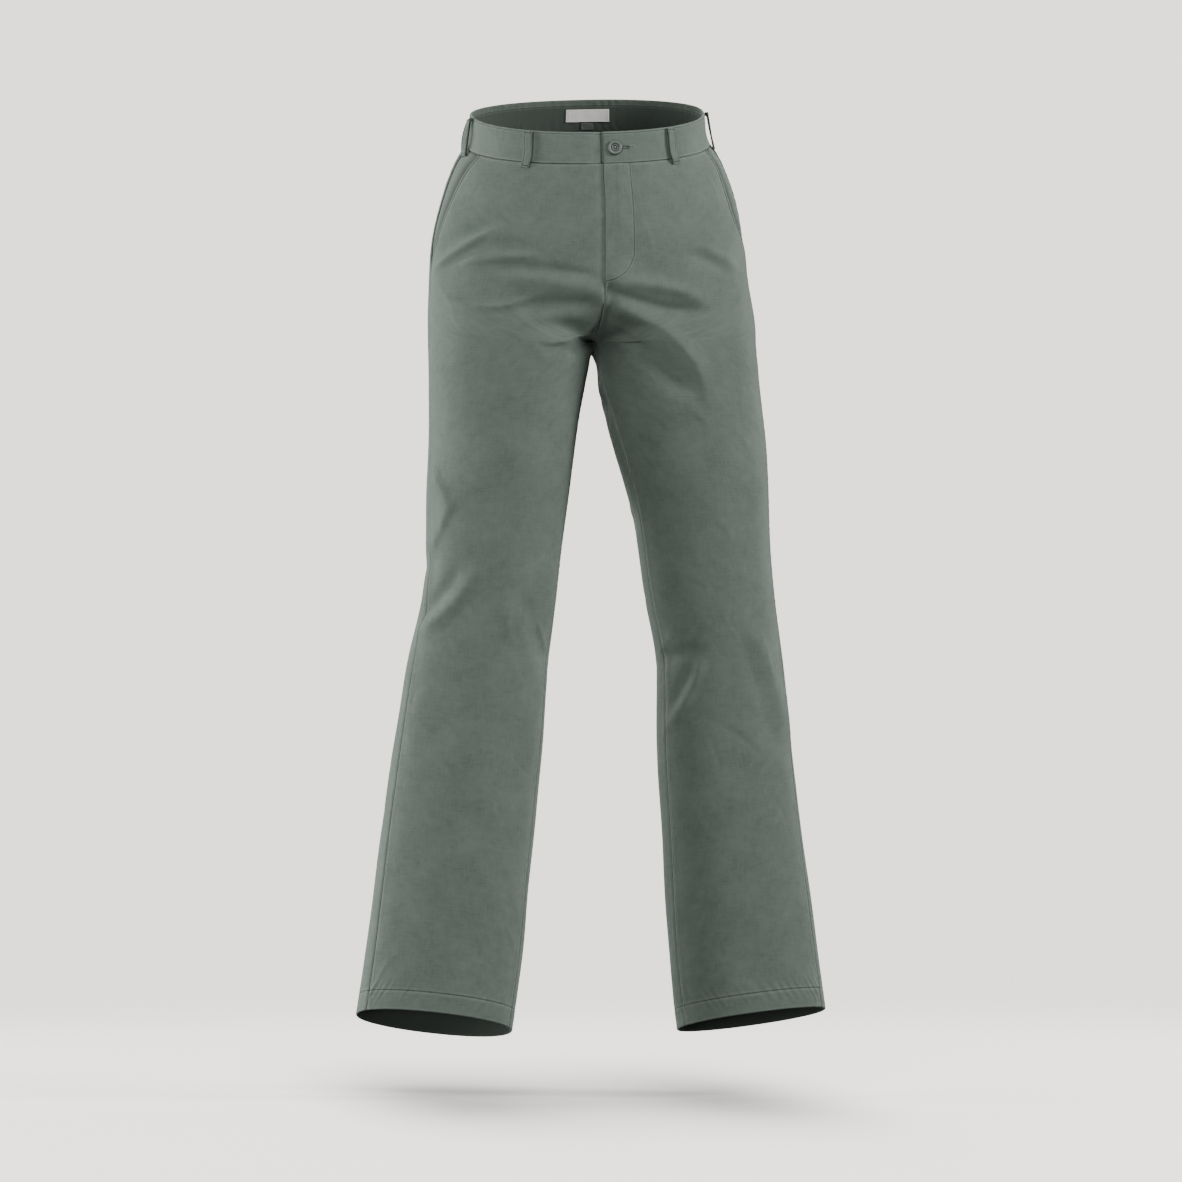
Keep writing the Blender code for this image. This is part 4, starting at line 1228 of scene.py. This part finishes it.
def bandSection():
    # rows of height, distance out and share of the lip: down the outer face, round the lower edge,
    # down and up the inner side's lip, up the inner face and round the upper edge
    half, tall, rim = sizes["bandWall"] / 2, sizes["bandHeight"], band["rim"]
    face = np.linspace(-rim, -tall + rim, band["faceRows"])
    turn = np.linspace(0, math.pi, 7)[1:-1]
    lipOuter, lipTop = -half + band["lipWall"], -tall - 0.1 * mm
    section = [(z, half, 0) for z in face]
    section += [(-tall + rim - rim * math.sin(a), half * math.cos(a), 0) for a in turn[:3]]
    section += [(-tall, lipOuter, 0), (lipTop, lipOuter, 1), (lipTop, -half, 1), (-tall, -half, 0)]
    section += [(z, -half, 0) for z in face[::-1]]
    section += [(-rim + rim * math.sin(a), -half * math.cos(a), 0) for a in turn]
    return np.array(section).T


def bandRelief(along, z, out):  # crown, dents of the stitching, ripples, waves and creases
    half, tall = sizes["bandWall"] / 2, sizes["bandHeight"]
    fromEdges = np.minimum(-z, tall + z)
    crown = band["crown"] * np.sin(np.clip(-z / tall, 0, 1) * math.pi) * (out > 0)
    dent = band["edgeDent"] * bell(fromEdges - band["edgeStitch"], 1.0 * mm) * (out > 0.9 * half)
    inDent = band["insideDent"] * bell(-z - band["insideStitch"], 1.2 * mm) * (out < -0.9 * half)
    ripple = band["pucker"] * puckerWave(along, 77) * np.exp(-fromEdges / band["puckerReach"])
    ripple = ripple * (np.abs(out) > 0.9 * half) * (1 + band["puckerInside"] * (out < 0))
    ripple = ripple * smoothStep(0, 3 * mm, fromEdges) * np.sign(out)
    u, v = np.broadcast_arrays(along, z)
    slow = band["waves"] * unevenness(u, v, 78)
    slow = slow + band["creaseHeight"] * crumple(u, v, 79, band["creases"]) * (out > 0)
    return crown - dent + inDent + ripple + slow * smoothStep(*band["calmTip"], along[-1] - along)


def bandShade(points, along, z, onOuter, tucked, lapAt, angles):
    # distances to painted shadow lines beside the lap's edge, along the sewn foot, in the slit of the
    # buttonhole and beside the belt loops, and to the top edge, light with wear and painted highlight
    tall, fromTip = sizes["bandHeight"], along[-1] - along
    slit = np.hypot(np.maximum(np.abs(fromTip - buttonhole["slitAt"]) - buttonhole["slitHalf"], 0),
                    z + buttonhole["below"])
    drawn = [(onOuter & (angles < 0), np.abs(along - along[lapAt]) * marks["lap"] + 0 * z),
             (onOuter, np.abs(z + tall) * marks["bandFoot"]),
             (onOuter, np.abs(z) + marks["worn"]),
             (onOuter, slit * marks["slit"])]
    for place in loopPlaces:
        share = (z - loops["top"]) / (loopFoot - loops["top"])
        middle = place["angle"] + (place["footAngle"] - place["angle"]) * share
        off = np.linalg.norm(points - bandSurface(middle, z, sizes["bandLift"])[0], axis=-1)
        beside = np.abs(off - loops["width"] / 2 - 0.1 * mm) * marks["loopShade"]
        drawn.append((onOuter & (z < loops["top"]) & (tucked == 0), beside))
    return nearest(*[onlyWhere(there, field, noLine["strip"]) for there, field in drawn])


def buildBand():
    # one strip: it starts under the lap, goes round by the wearer's right and the back and ends on top
    angles, tucked, slim, lapAt = bandCourse()
    heights, outs, lipShares = bandSection()
    angles, tucked, slim = angles[:, None], tucked[:, None], slim[:, None]
    z = heights - lipShares * band["lip"] * smoothStep(band["lipFrom"], band["lipFull"], np.abs(angles))
    out = outs + 0 * z
    along = np.cumsum(np.concatenate([[0], np.abs(np.diff(angles[:, 0]))]))[:, None] * band["degree"]
    seat = sizes["bandLift"] - sizes["bandWall"] / 2 - (sizes["bandWall"] + sizes["gap"]) * tucked
    points, _ = bandSurface(angles, z, seat + out * slim + bandRelief(along, z, out))
    rows, columns = points.shape[:2]
    faces = gridFaces(rows, columns, wrapColumns=True)[:, ::-1].tolist() + tubeCaps(rows, columns)
    stitch = np.where(out > 0, -z - band["edgeStitch"], -z - band["insideStitch"])
    tall = sizes["bandHeight"]
    stitch = onlyWhere(np.abs(z + tall / 2) < tall / 2 - 0.2 * mm, stitch, noLine["strip"])
    around = runAlong(np.stack([heights, outs], -1))
    piece = meshObject("waistbandCloth", points, faces, twill, {
        "fromStitch": stitch / mm,
        "fromSeam": bandShade(points, along, z, out > 0, tucked, lapAt, angles) / mm,
        # painted shade inside the band, deepening from its top edge down, on the darker reverse
        "reverseAndShade": np.where(out < 0, 0.35 + 0.65 * smoothStep(5 * mm, 11 * mm, -z), 0),
    }, np.stack(np.broadcast_arrays(along, around), -1))
    outer = points[:, :band["faceRows"]]
    settle(piece, "waistband")
    declareCloth(outer.transpose(1, 0, 2))
    return outer, angles[:, 0]


bandOuter, bandAngles = buildBand()
print("waistband")

facing = {
    "below": -198 * mm,
    "inner": 0.83,  # share of the way round to the pocket's mouth
    "outer": 1.09,
    "dip": 1.8 * mm,
    "dipWidth": 9 * mm,
    "dipFrom": (-38 * mm, -60 * mm),
    # painted shade on the facing under the mouth's edge: how dark, and how far it reaches
    "dark": 0.75,
    "reach": 30 * mm,
}


def buildFacing(side):
    z = np.linspace(seamTop, facing["below"], 60)[:, None]
    mouth = mouthT(side, z)
    inner = mouth * facing["inner"]
    t = inner + (facing["outer"] - inner) * np.linspace(0, 1, 44)[None, :]
    zs = z + 0 * t
    base, normals = bareForm(side, t, zs), outwardOf(side, t, zs)
    lift = wrapLift(side, t, zs)
    lift = lift + frontLift(base + normals * lift[..., None], normals)
    fromMouth = (t - mouth) * girth  # the facing sinks under the mouth's edge
    lift = lift - facing["dip"] * bell(fromMouth, facing["dipWidth"]) * smoothStep(*facing["dipFrom"], zs)
    points = base + normals * (lift - sizes["wall"] - sizes["gap"])[..., None]
    # painted shade on the facing, darkest under the mouth's edge
    shade = facing["dark"] * smoothStep(facing["reach"], 0.2 * facing["reach"], fromMouth)
    piece = wallObject(f"pocketFacing_{side}", points, normals, twill, side == "right", shade)
    settle(piece, f"pocket_facing_{side}")
    declareCloth(points)


for side in sideSigns:
    buildFacing(side)
print("pocket facings")

flyShield = {"left": -9 * mm, "right": 36 * mm, "below": 8 * mm, "rows": 60, "columns": 22}


def buildFlyShield():
    heights = np.linspace(seamTop, -sizes["flyDrop"] - flyShield["below"], flyShield["rows"])
    across = np.linspace(flyShield["left"], flyShield["right"], flyShield["columns"])
    shares = np.linspace(0, 0.5, 120)
    t = np.zeros((len(heights), len(across)))
    for i, height in enumerate(heights):
        for side, sign in sideSigns.items():
            run = bareForm(side, shares, height)
            share = np.interp(np.abs(across), np.linalg.norm(run - run[0], axis=-1), shares)
            t[i] = np.where(np.sign(across) == sign, sign * share, t[i])
    z = heights[:, None] + 0 * t
    base, normals = formAcross("left", t, z), outwardOf("left", t, z)
    depth = frontLift(base, normals) - sizes["flyDip"] - sizes["wall"] - sizes["gap"]
    points = base + normals * depth[..., None]
    piece = wallObject("flyShieldCloth", points, normals, twill, False)
    settle(piece, "fly_shield")
    declareCloth(points)


buildFlyShield()
print("fly shield")

# height, share of the bulge, and share of the way from the band down onto the cloth below it
loopKnots = ((loops["top"], 0, 0), (-4 * mm, 0.5, 0), (-10 * mm, 0.9, 0), (-20 * mm, 1.0, 0),
             (-31 * mm, 0.85, 0), (loopBend, 0.45, 0.3), ((loopBend + loopFoot) / 2, 0.08, 0.8),
             (loopFoot, 0, 1))
# half the strip's cross-section, from an edge to the middle: across, then top and underside in walls.
# The dent is where the edge is stitched
stripSection = ((-1, 0.5, 0.5), (-0.985, 0.8, 0.2), (-0.9, 1.0, 0.02), (-0.75, 0.98, 0), (-0.64, 0.8, 0),
                (-0.5, 0.96, 0), (-0.25, 1.0, 0), (0, 1.0, 0))


def loopCourse(angle, footAngle, onFacing, bulge, twist, stand):
    # heights down a loop, its middle line, and its directions across and outward
    side = "left" if angle >= 0 else "right"
    heights, raised, sunk = np.array(loopKnots).T
    seat = sizes["bandLift"] + (sizes["wall"] + sizes["gap"]) * onFacing
    raised = raised * bulge * mm * (1 - stand)
    smooth = curveThrough(list(heights), list(sizes["bandLift"] + sizes["gap"] + raised - sunk * seat))
    top = loops["top"]
    z = np.concatenate([[top], np.linspace(top - 0.3 * mm, loopFoot + 0.3 * mm, 46), [loopFoot]])
    share = (z - top) / (loopFoot - top)
    t = np.abs(angle + (footAngle - angle) * share) / 90
    points, ups = bareForm(side, t, z), outwardOf(side, t, z)
    centres = points + ups * (np.array([smooth(height) for height in z]) + frontLift(points, ups))[:, None]
    if stand:  # it runs straight from head to foot
        above, below = centres[0] + ups[0] * loops["headLift"], centres[-1] + ups[-1] * loops["footLift"]
        bow = bulge * mm * np.sin(share * math.pi)[:, None]
        centres = above + (below - above) * share[:, None] + ups.mean(axis=0) * bow
    sides = np.cross(np.gradient(centres, axis=0), ups)
    sides = sides.mean(axis=0) * 0.7 + sides * 0.3
    sides = sides - ups * np.sum(sides * ups, axis=-1, keepdims=True)
    sides = sides / np.linalg.norm(sides, axis=-1, keepdims=True) * sideSigns[side]
    # a loop that stands off turns its face towards the front
    turned = np.radians(twist) * np.sin(share * math.pi)[:, None] * sideSigns[side]
    return (z, centres, sides * np.cos(turned) + ups * np.sin(turned),
            ups * np.cos(turned) - sides * np.sin(turned))


def buildLoop(name, wall, stand, **course):
    # a folded strip, sewn down at the band's top edge and below the band
    z, centres, sides, ups = loopCourse(stand=stand, **course)
    wall, half = wall * mm, loops["width"] / 2
    mid = wall / 2
    x, top, low = np.array(stripSection + tuple((-a, b, c) for a, b, c in stripSection[-2::-1])).T
    ringX = np.concatenate([x, x[-2:0:-1]]) * half
    ringY = np.concatenate([top, low[-2:0:-1]]) * wall
    ends = np.ones(len(z))
    ends[[0, -1]], ends[[1, -2]] = 0.45, 0.85
    # where the loop is sewn down its folded end fills the space under it
    fill = (loops["headLift"] * (1 - smoothStep(*loops["fillFade"], loops["top"] - z)) +
            loops["footLift"] * (1 - smoothStep(*loops["fillFade"], z - loopFoot))) * stand
    high = mid + (ringY - mid) * ends[:, None] - fill[:, None] * (ringY < mid)
    points = centres[:, None] + sides[:, None] * ringX[None, :, None] + ups[:, None] * high[..., None]
    rows, columns = points.shape[:2]
    faces, caps = gridFaces(rows, columns, wrapColumns=True), tubeCaps(rows, columns)
    flip = np.sum(np.cross(points[1, 7] - points[0, 7], points[0, 8] - points[0, 7]) * ups[0]) < 0
    faces = faces[:, ::-1] if flip else faces
    caps = caps if flip else [cap[::-1] for cap in caps]
    edge = half - loops["edgeStitch"]
    stitch = np.abs(np.abs(ringX) - edge) * marks["loopStitch"] + 0 * z[:, None]
    stitch = onlyWhere(ringY[None, :] > mid, stitch, noLine["strip"])
    tackHeights = (loops["top"] - loops["headTack"], loopFoot + loops["footTack"])
    tack = np.minimum(*[np.abs(z - height) for height in tackHeights])[:, None]
    piece = meshObject(f"beltLoop_{name}", points, faces.tolist() + caps, twill, {
        "fromStitch": np.minimum(stitch, tack * marks["loopTack"]) / mm,
        # painted shade along the loop's edges
        "fromSeam": ((half - np.abs(ringX)) * marks["loopEdge"] + 0 * z[:, None]) / mm,
        # the underside is darker: the cloth's reverse side and painted shade
        "reverseAndShade": (ringY < mid) + 0 * stitch,
    }, np.stack(np.broadcast_arrays(ringX[None, :] + 0.3, z[:, None]), -1))
    settle(piece, f"belt_loop_{name}")
    declareCloth(points[:, :len(x)].transpose(1, 0, 2))
    paths = [((centres + sides * sign * edge + ups * wall * 0.82)[2:-2], ups[2:-2]) for sign in (-1, 1)]
    tacks = []
    for height in tackHeights:
        k = int(np.argmin(np.abs(z - height)))
        across = centres[k] + sides[k] * np.linspace(-0.86, 0.86, 12)[:, None] * half + ups[k] * wall
        tacks.append((across, np.repeat(ups[k][None], 12, axis=0)))
    return paths, tacks


loopPaths, tackPaths = [], []
for place in loopPlaces:
    paths, tacks = buildLoop(**place)
    loopPaths += paths
    tackPaths += tacks
sewStitches("loopStitches", loopPaths)
sewStitches("loopTacks", tackPaths, radius=0.34 * mm, pitch=0.75 * mm, length=1.5 * mm)
print("belt loops")


# hem, pocket, fly and crotch stitching, laid on the panels' own points
def hemPaths():
    z = -sizes["hemDrop"] + sizes["hemDepth"] - marks["hemStitch"]
    return [onPanel(panel, np.linspace(1.5 * mm, panel["arc"][-6, -1] - 1.5 * mm, 90), np.full(90, z))
            for panel in panels.values()]


def mouthPaths():
    paths = []
    for side in sideSigns:
        panel = panels["front", side]
        z = np.linspace(-37.5 * mm, -sizes["mouthDrop"] - 2 * mm, 70)
        widths = np.interp(-z, -panel["rows"], panel["arc"][:, -1])
        paths.append(onPanel(panel, widths - marks["mouthStitch"], z))
    return paths


def flyPaths():
    panel = panels["front", "left"]
    path = np.array(flyStitchPath())
    s = runAlong(path)
    fine = np.linspace(0, s[-1], 110)
    z = np.linspace(-sizes["flyDrop"] - 2 * mm, -sizes["crotchDrop"] + 8 * mm, 40)
    across, down = np.interp(fine, s, path[:, 0]), np.interp(fine, s, path[:, 1]) - 0.4 * mm
    return [onPanel(panel, across, down, "centre"),
            onPanel(panel, np.full(40, fly["crotchStitch"]), z, "centre")]


def bandPaths():  # along the band's upper edge, on its outer face
    keep = slice(26, len(bandAngles) - 4)
    _, normals = bandSurface(bandAngles[keep], -band["edgeStitch"], 0.0)
    rowTall = (sizes["bandHeight"] - 2 * band["rim"]) / (band["faceRows"] - 1)
    share = (band["edgeStitch"] - band["rim"]) / rowTall
    first, second = bandOuter[keep, 0], bandOuter[keep, 1]
    return [(first + (second - first) * share + normals * 0.05 * mm, normals)]


sewStitches("hemStitches", hemPaths())
sewStitches("pocketStitches", mouthPaths())
sewStitches("flyStitches", flyPaths())
print("stitching")
sewStitches("bandStitches", bandPaths())

button = {
    "fromLap": 13 * mm,
    "steps": 72,
    # radius and height in mm, and how much painted shade darkens it, from the middle of the face out and down
    # to the back
    "profile": (
        (0.0, 2.5, 0), (0.6, 2.45, 0), (1.1, 2.2, 0), (1.4, 1.6, 0.7), (1.7, 1.2, 1), (2.2, 1.15, 1),
        (2.55, 1.5, 0.6), (2.8, 2.0, 0), (3.15, 2.3, 0), (3.5, 2.3, 0), (3.8, 2.05, 0.2), (4.0, 1.6, 0.9),
        (4.25, 1.25, 1), (4.55, 1.3, 1), (4.8, 1.75, 0.6), (5.05, 2.25, 0), (5.5, 2.5, 0), (6.2, 2.7, 0),
        (6.9, 2.8, 0), (7.4, 2.78, 0.05), (7.8, 2.6, 0.3), (8.1, 2.35, 0.8), (8.5, 1.9, 1), (8.75, 1.3, 1),
        (8.55, 0.9, 1), (8.0, 0.6, 1), (6.5, 0.25, 1), (4.0, 0.05, 1), (0.0, 0.0, 1)),
}


def buildButton():
    profile, steps = button["profile"], button["steps"]
    rings = profile[1:-1]
    turn = np.arange(steps) * math.tau / steps
    ring = np.stack([np.cos(turn), np.sin(turn), 0 * turn], -1)
    points = np.concatenate([ring * r + np.array([0, 0, h]) for r, h, _ in rings] +
                            [np.array([[0, 0, profile[0][1]], [0, 0, profile[-1][1]]])]) * mm
    faces = gridFaces(len(rings), steps, wrapColumns=True).tolist()
    first, base = len(rings) * steps, (len(rings) - 1) * steps
    for k in range(steps):
        faces.append((first, k, (k + 1) % steps))
        faces.append((first + 1, base + (k + 1) % steps, base + k))
    t, z = degreesRound(button["fromLap"]) / 90, -sizes["bandHeight"] / 2
    normal = outwardOf("left", np.array(t), np.array(z))
    seat = bareForm("left", t, z) + normal * (sizes["bandLift"] + sizes["gap"] + band["crown"])
    facingOut = np.array(Vector(normal).to_track_quat("Z", "Y").to_matrix())
    dark = np.concatenate([np.repeat([row[2] for row in rings], steps), [profile[0][2], profile[-1][2]]])
    piece = meshObject("buttonTurned", points @ facingOut.T + seat, faces, tonalButton, {"dark": dark})
    settle(piece, "waist_button")


def buildButtonhole():
    # short satin stitches round a slit, fanned at its outer end
    centres, outs = [], []
    rng = np.random.default_rng(5)
    arcs = np.arange(buttonhole["from"], buttonhole["to"], buttonhole["pitch"])
    places = [(arc, math.pi / 2 * sign) for arc in arcs for sign in (-1, 1)]
    places += [(buttonhole["to"], a) for a in np.linspace(-math.pi / 2, math.pi / 2, 12)]
    for arc, angle in places:
        for share in np.linspace(0.35, 1.75, 5):
            reach = share * buttonhole["half"]
            z = -buttonhole["below"] + reach * math.sin(angle) + rng.normal(0, 0.02) * mm
            height = sizes["bandLift"] + band["crown"] + 0.12 * mm
            height += 0.16 * mm * math.sin((share - 0.35) / 1.4 * math.pi)
            point, normal = bandSurface(degreesRound(arc + reach * math.cos(angle)), z, height)
            centres.append(point)
        outs += [normal] * 5
    points, faces = strands(np.array(centres).reshape(-1, 5, 3), np.array(outs).reshape(-1, 5, 3),
                            buttonhole["radius"])
    settle(meshObject("buttonholeStitches", points, faces, tonalThread), None)


buildButton()
buildButtonhole()
print("button")

label = {
    "width": 51.5 * mm,
    "height": 15.2 * mm,
    "below": 12.2 * mm,
    "shift": 11 * mm,
    "wall": 1.0 * mm,
    "border": 1.2 * mm,
    "raised": 0.12 * mm,
    "waves": 0.15 * mm,
    "waveLength": 17 * mm,
    "tabWidth": 14 * mm,
    "tabHeight": 7 * mm,
    "tabBelow": 1.5 * mm,
    "tabBorder": 0.8 * mm,
}


def buildLabel(name, node, width, height, below, material, border):
    columns, rows = 61, 25
    arcs = label["shift"] - np.linspace(-width / 2, width / 2, columns)
    angles = np.array([degreesRound(arc, atBack=True) for arc in arcs])[None, :]
    heights = np.linspace(-below, -below - height, rows)[:, None]
    x, y = np.meshgrid(np.linspace(0, width, columns), np.linspace(0, height, rows))
    fromRim = np.minimum(np.minimum(x, width - x), np.minimum(y, height - y))
    raised = label["raised"] * smoothStep(border * 1.15, border * 0.85, fromRim)
    wavy = label["waves"] * np.sin(x * math.tau / label["waveLength"]) * np.sin(y * math.pi / height)
    lift = sizes["bandLift"] - sizes["bandWall"] - sizes["gap"] - 0.25 * mm
    face, normals = bandSurface(angles, heights, lift - 0.55 * label["wall"] - raised - wavy)
    back, _ = bandSurface(angles, heights, lift)
    rim = np.concatenate([(fromRim - border / 2) / mm, np.full(fromRim.shape, 9.0)])
    uv = np.stack([x, y], -1)
    faces = foldedFaces(2 * rows, columns, True)
    piece = meshObject(name, np.concatenate([face, back[::-1]]), faces, material,
                       {"fromStitch": rim}, np.concatenate([uv, uv[::-1]]))
    settle(piece, node)
    declareCloth(face)
    return face, -normals


labelFace, labelOut = buildLabel("labelPatch", "label", label["width"], label["height"], label["below"],
                                 labelSatin, label["border"])
buildLabel("sizeTabPatch", "size_tab", label["tabWidth"], label["tabHeight"],
           label["below"] + label["height"] + label["tabBelow"], tabCloth, label["tabBorder"])
sewStitches("labelStitches", [(labelFace[2:-2, k], labelOut[2:-2, k]) for k in (3, -4)],
            pitch=2.2 * mm, length=1.7 * mm, radius=0.2 * mm)
print("label")

# studio: a pale floor under the garment with a painted shadow, even light, a long lens
studio = {
    "floorHeight": -1.143,
    "floorRadius": 30.0,
    "floorColour": (0.85, 0.83, 0.78),
    "floorGlow": 0.77,
    "fadeFrom": 1.2,
    "fadeTo": 2.6,
    # the floor's painted shadow: how dark, how far across, two darker lobes under the legs, and where and how
    # deep front to back
    "shade": 0.77,
    "shadeReach": (0.17, 0.36),
    "lobe": 0.24,
    "lobeAt": 0.143,
    "lobeWidth": 0.085,
    "shadeMiddle": 0.02,
    "shadeDepth": 0.56,
    "backdrop": (1.0, 0.9664, 0.8825),
    "backdropStrength": 2.154,
    "fill": 0.03,
    "aimAcross": 0.0035,
    "aimHeight": -0.553,
    "distance": 10.0,
    "shown": 1.3747,
    "sensor": 36,
}


def fadeOver(tree, value, start, end, strength):  # from strength to 0
    return addNode(tree, "ShaderNodeMapRange", {"Value": value, "From Min": start, "From Max": end,
                                                "To Min": strength, "To Max": 0.0},
                   interpolation_type="SMOOTHSTEP").outputs[0]


def bellOver(tree, value, middle, width):
    off = maths(tree, "DIVIDE", maths(tree, "SUBTRACT", value, middle), width)
    return maths(tree, "EXPONENT", times(tree, times(tree, off, off), -1.0))


def buildFloor():
    bpy.ops.mesh.primitive_circle_add(vertices=96, radius=studio["floorRadius"], fill_type="NGON",
                                      location=(0, 0, studio["floorHeight"]))
    floor = bpy.context.object
    floor.name = "studioFloor"
    material, tree, shader = newMaterial("floorPaper", Roughness=0.9, Base_Color=(*studio["floorColour"], 1),
                                         Emission_Strength=studio["floorGlow"] * studio["backdropStrength"])
    place = addNode(tree, "ShaderNodeTexCoord").outputs["Object"]
    # the glow stands for light from all round; a painted shadow under the garment darkens it
    x, y, _ = addNode(tree, "ShaderNodeSeparateXYZ", {"Vector": place}).outputs
    across = maths(tree, "ABSOLUTE", x)
    plateau = fadeOver(tree, across, *studio["shadeReach"], studio["shade"])
    lobes = times(tree, bellOver(tree, across, studio["lobeAt"], studio["lobeWidth"]), studio["lobe"])
    shade = times(tree, maths(tree, "ADD", plateau, lobes),
                  bellOver(tree, y, studio["shadeMiddle"], studio["shadeDepth"]))
    tree.links.new(mixColours(tree, shade, studio["backdrop"], (0, 0, 0)), shader.inputs["Emission Color"])
    far = addNode(tree, "ShaderNodeVectorMath", {0: place}, operation="LENGTH").outputs["Value"]
    fade = fadeOver(tree, far, studio["fadeFrom"], studio["fadeTo"], 1.0)
    seen = tree.nodes.new("ShaderNodeLightPath").outputs["Is Camera Ray"]  # the glow lights nothing
    clear = tree.nodes.new("ShaderNodeBsdfTransparent")
    mix = addNode(tree, "ShaderNodeMixShader", {0: times(tree, fade, seen), 1: clear.outputs[0],
                                                2: shader.outputs[0]})
    tree.links.new(mix.outputs[0], tree.nodes["Material Output"].inputs["Surface"])
    floor.data.materials.append(material)


def buildBackdrop():
    world = bpy.data.worlds.new("studioAir")
    bpy.context.scene.world = world
    world.use_nodes = True
    tree = world.node_tree
    shown = tree.nodes["Background"]
    shown.inputs["Color"].default_value = (*studio["backdrop"], 1)
    shown.inputs["Strength"].default_value = studio["backdropStrength"]
    light = addNode(tree, "ShaderNodeBackground", {"Color": (1, 1, 1, 1), "Strength": studio["fill"]})
    rays = tree.nodes.new("ShaderNodeLightPath")
    mix = addNode(tree, "ShaderNodeMixShader", {0: rays.outputs["Is Camera Ray"], 1: light.outputs[0],
                                                2: shown.outputs[0]})
    tree.links.new(mix.outputs[0], tree.nodes["World Output"].inputs["Surface"])


lamps = {  # place, aim, size across and up in metres, power
    "overhead": ((-0.6, -0.3, 3.4), (0, 0, -0.2), (1.4, 1.0), 20),
    "frontLeft": ((-0.9, -3.3, 1.6), (0, 0, -0.8), (1.4, 1.4), 51),
    "frontLow": ((-1.2, -2.6, -1.0), (0.15, 0, -1.0), (1.6, 0.6), 24),
    "farRight": ((3.4, -1.6, 1.3), (0, 0, -0.3), (1.2, 1.9), 152),
    "sideLeft": ((-3.2, 0.0, -0.4), (0, 0, -0.6), (0.9, 2.4), 80),
    "rimLeft": ((-2.6, 1.8, -0.3), (0, 0, -0.6), (0.8, 2.4), 60),
    "back": ((0.4, 3.4, 1.3), (0, 0, -0.6), (1.8, 1.4), 46),
    "rimRight": ((2.6, 1.8, -0.3), (0, 0, -0.6), (0.8, 2.4), 46),
}


def placeAimed(name, data, place, aim):
    made = bpy.data.objects.new(name, data)
    made.location = place
    made.rotation_euler = (Vector(aim) - Vector(place)).to_track_quat("-Z", "Y").to_euler()
    bpy.context.scene.collection.objects.link(made)
    return made


def buildLamps():
    for name, (place, aim, size, power) in lamps.items():
        lamp = bpy.data.lights.new(name, "AREA")
        lamp.shape, lamp.size, lamp.size_y, lamp.energy = "RECTANGLE", size[0], size[1], power
        placeAimed(name, lamp, place, aim).visible_camera = False


def buildCamera():
    camera = bpy.data.cameras.new("camera")
    camera.sensor_width = studio["sensor"]
    camera.lens = studio["sensor"] * studio["distance"] / studio["shown"]
    camera.clip_end = 100
    s, c = math.sin(seenFrom), math.cos(seenFrom)
    target = Vector((c * studio["aimAcross"], -s * studio["aimAcross"], studio["aimHeight"]))
    away = Vector((-s, -c, 0)) * studio["distance"]
    bpy.context.scene.camera = placeAimed("camera", camera, target + away, target)


buildFloor()
buildBackdrop()
buildLamps()
buildCamera()
print("studio")
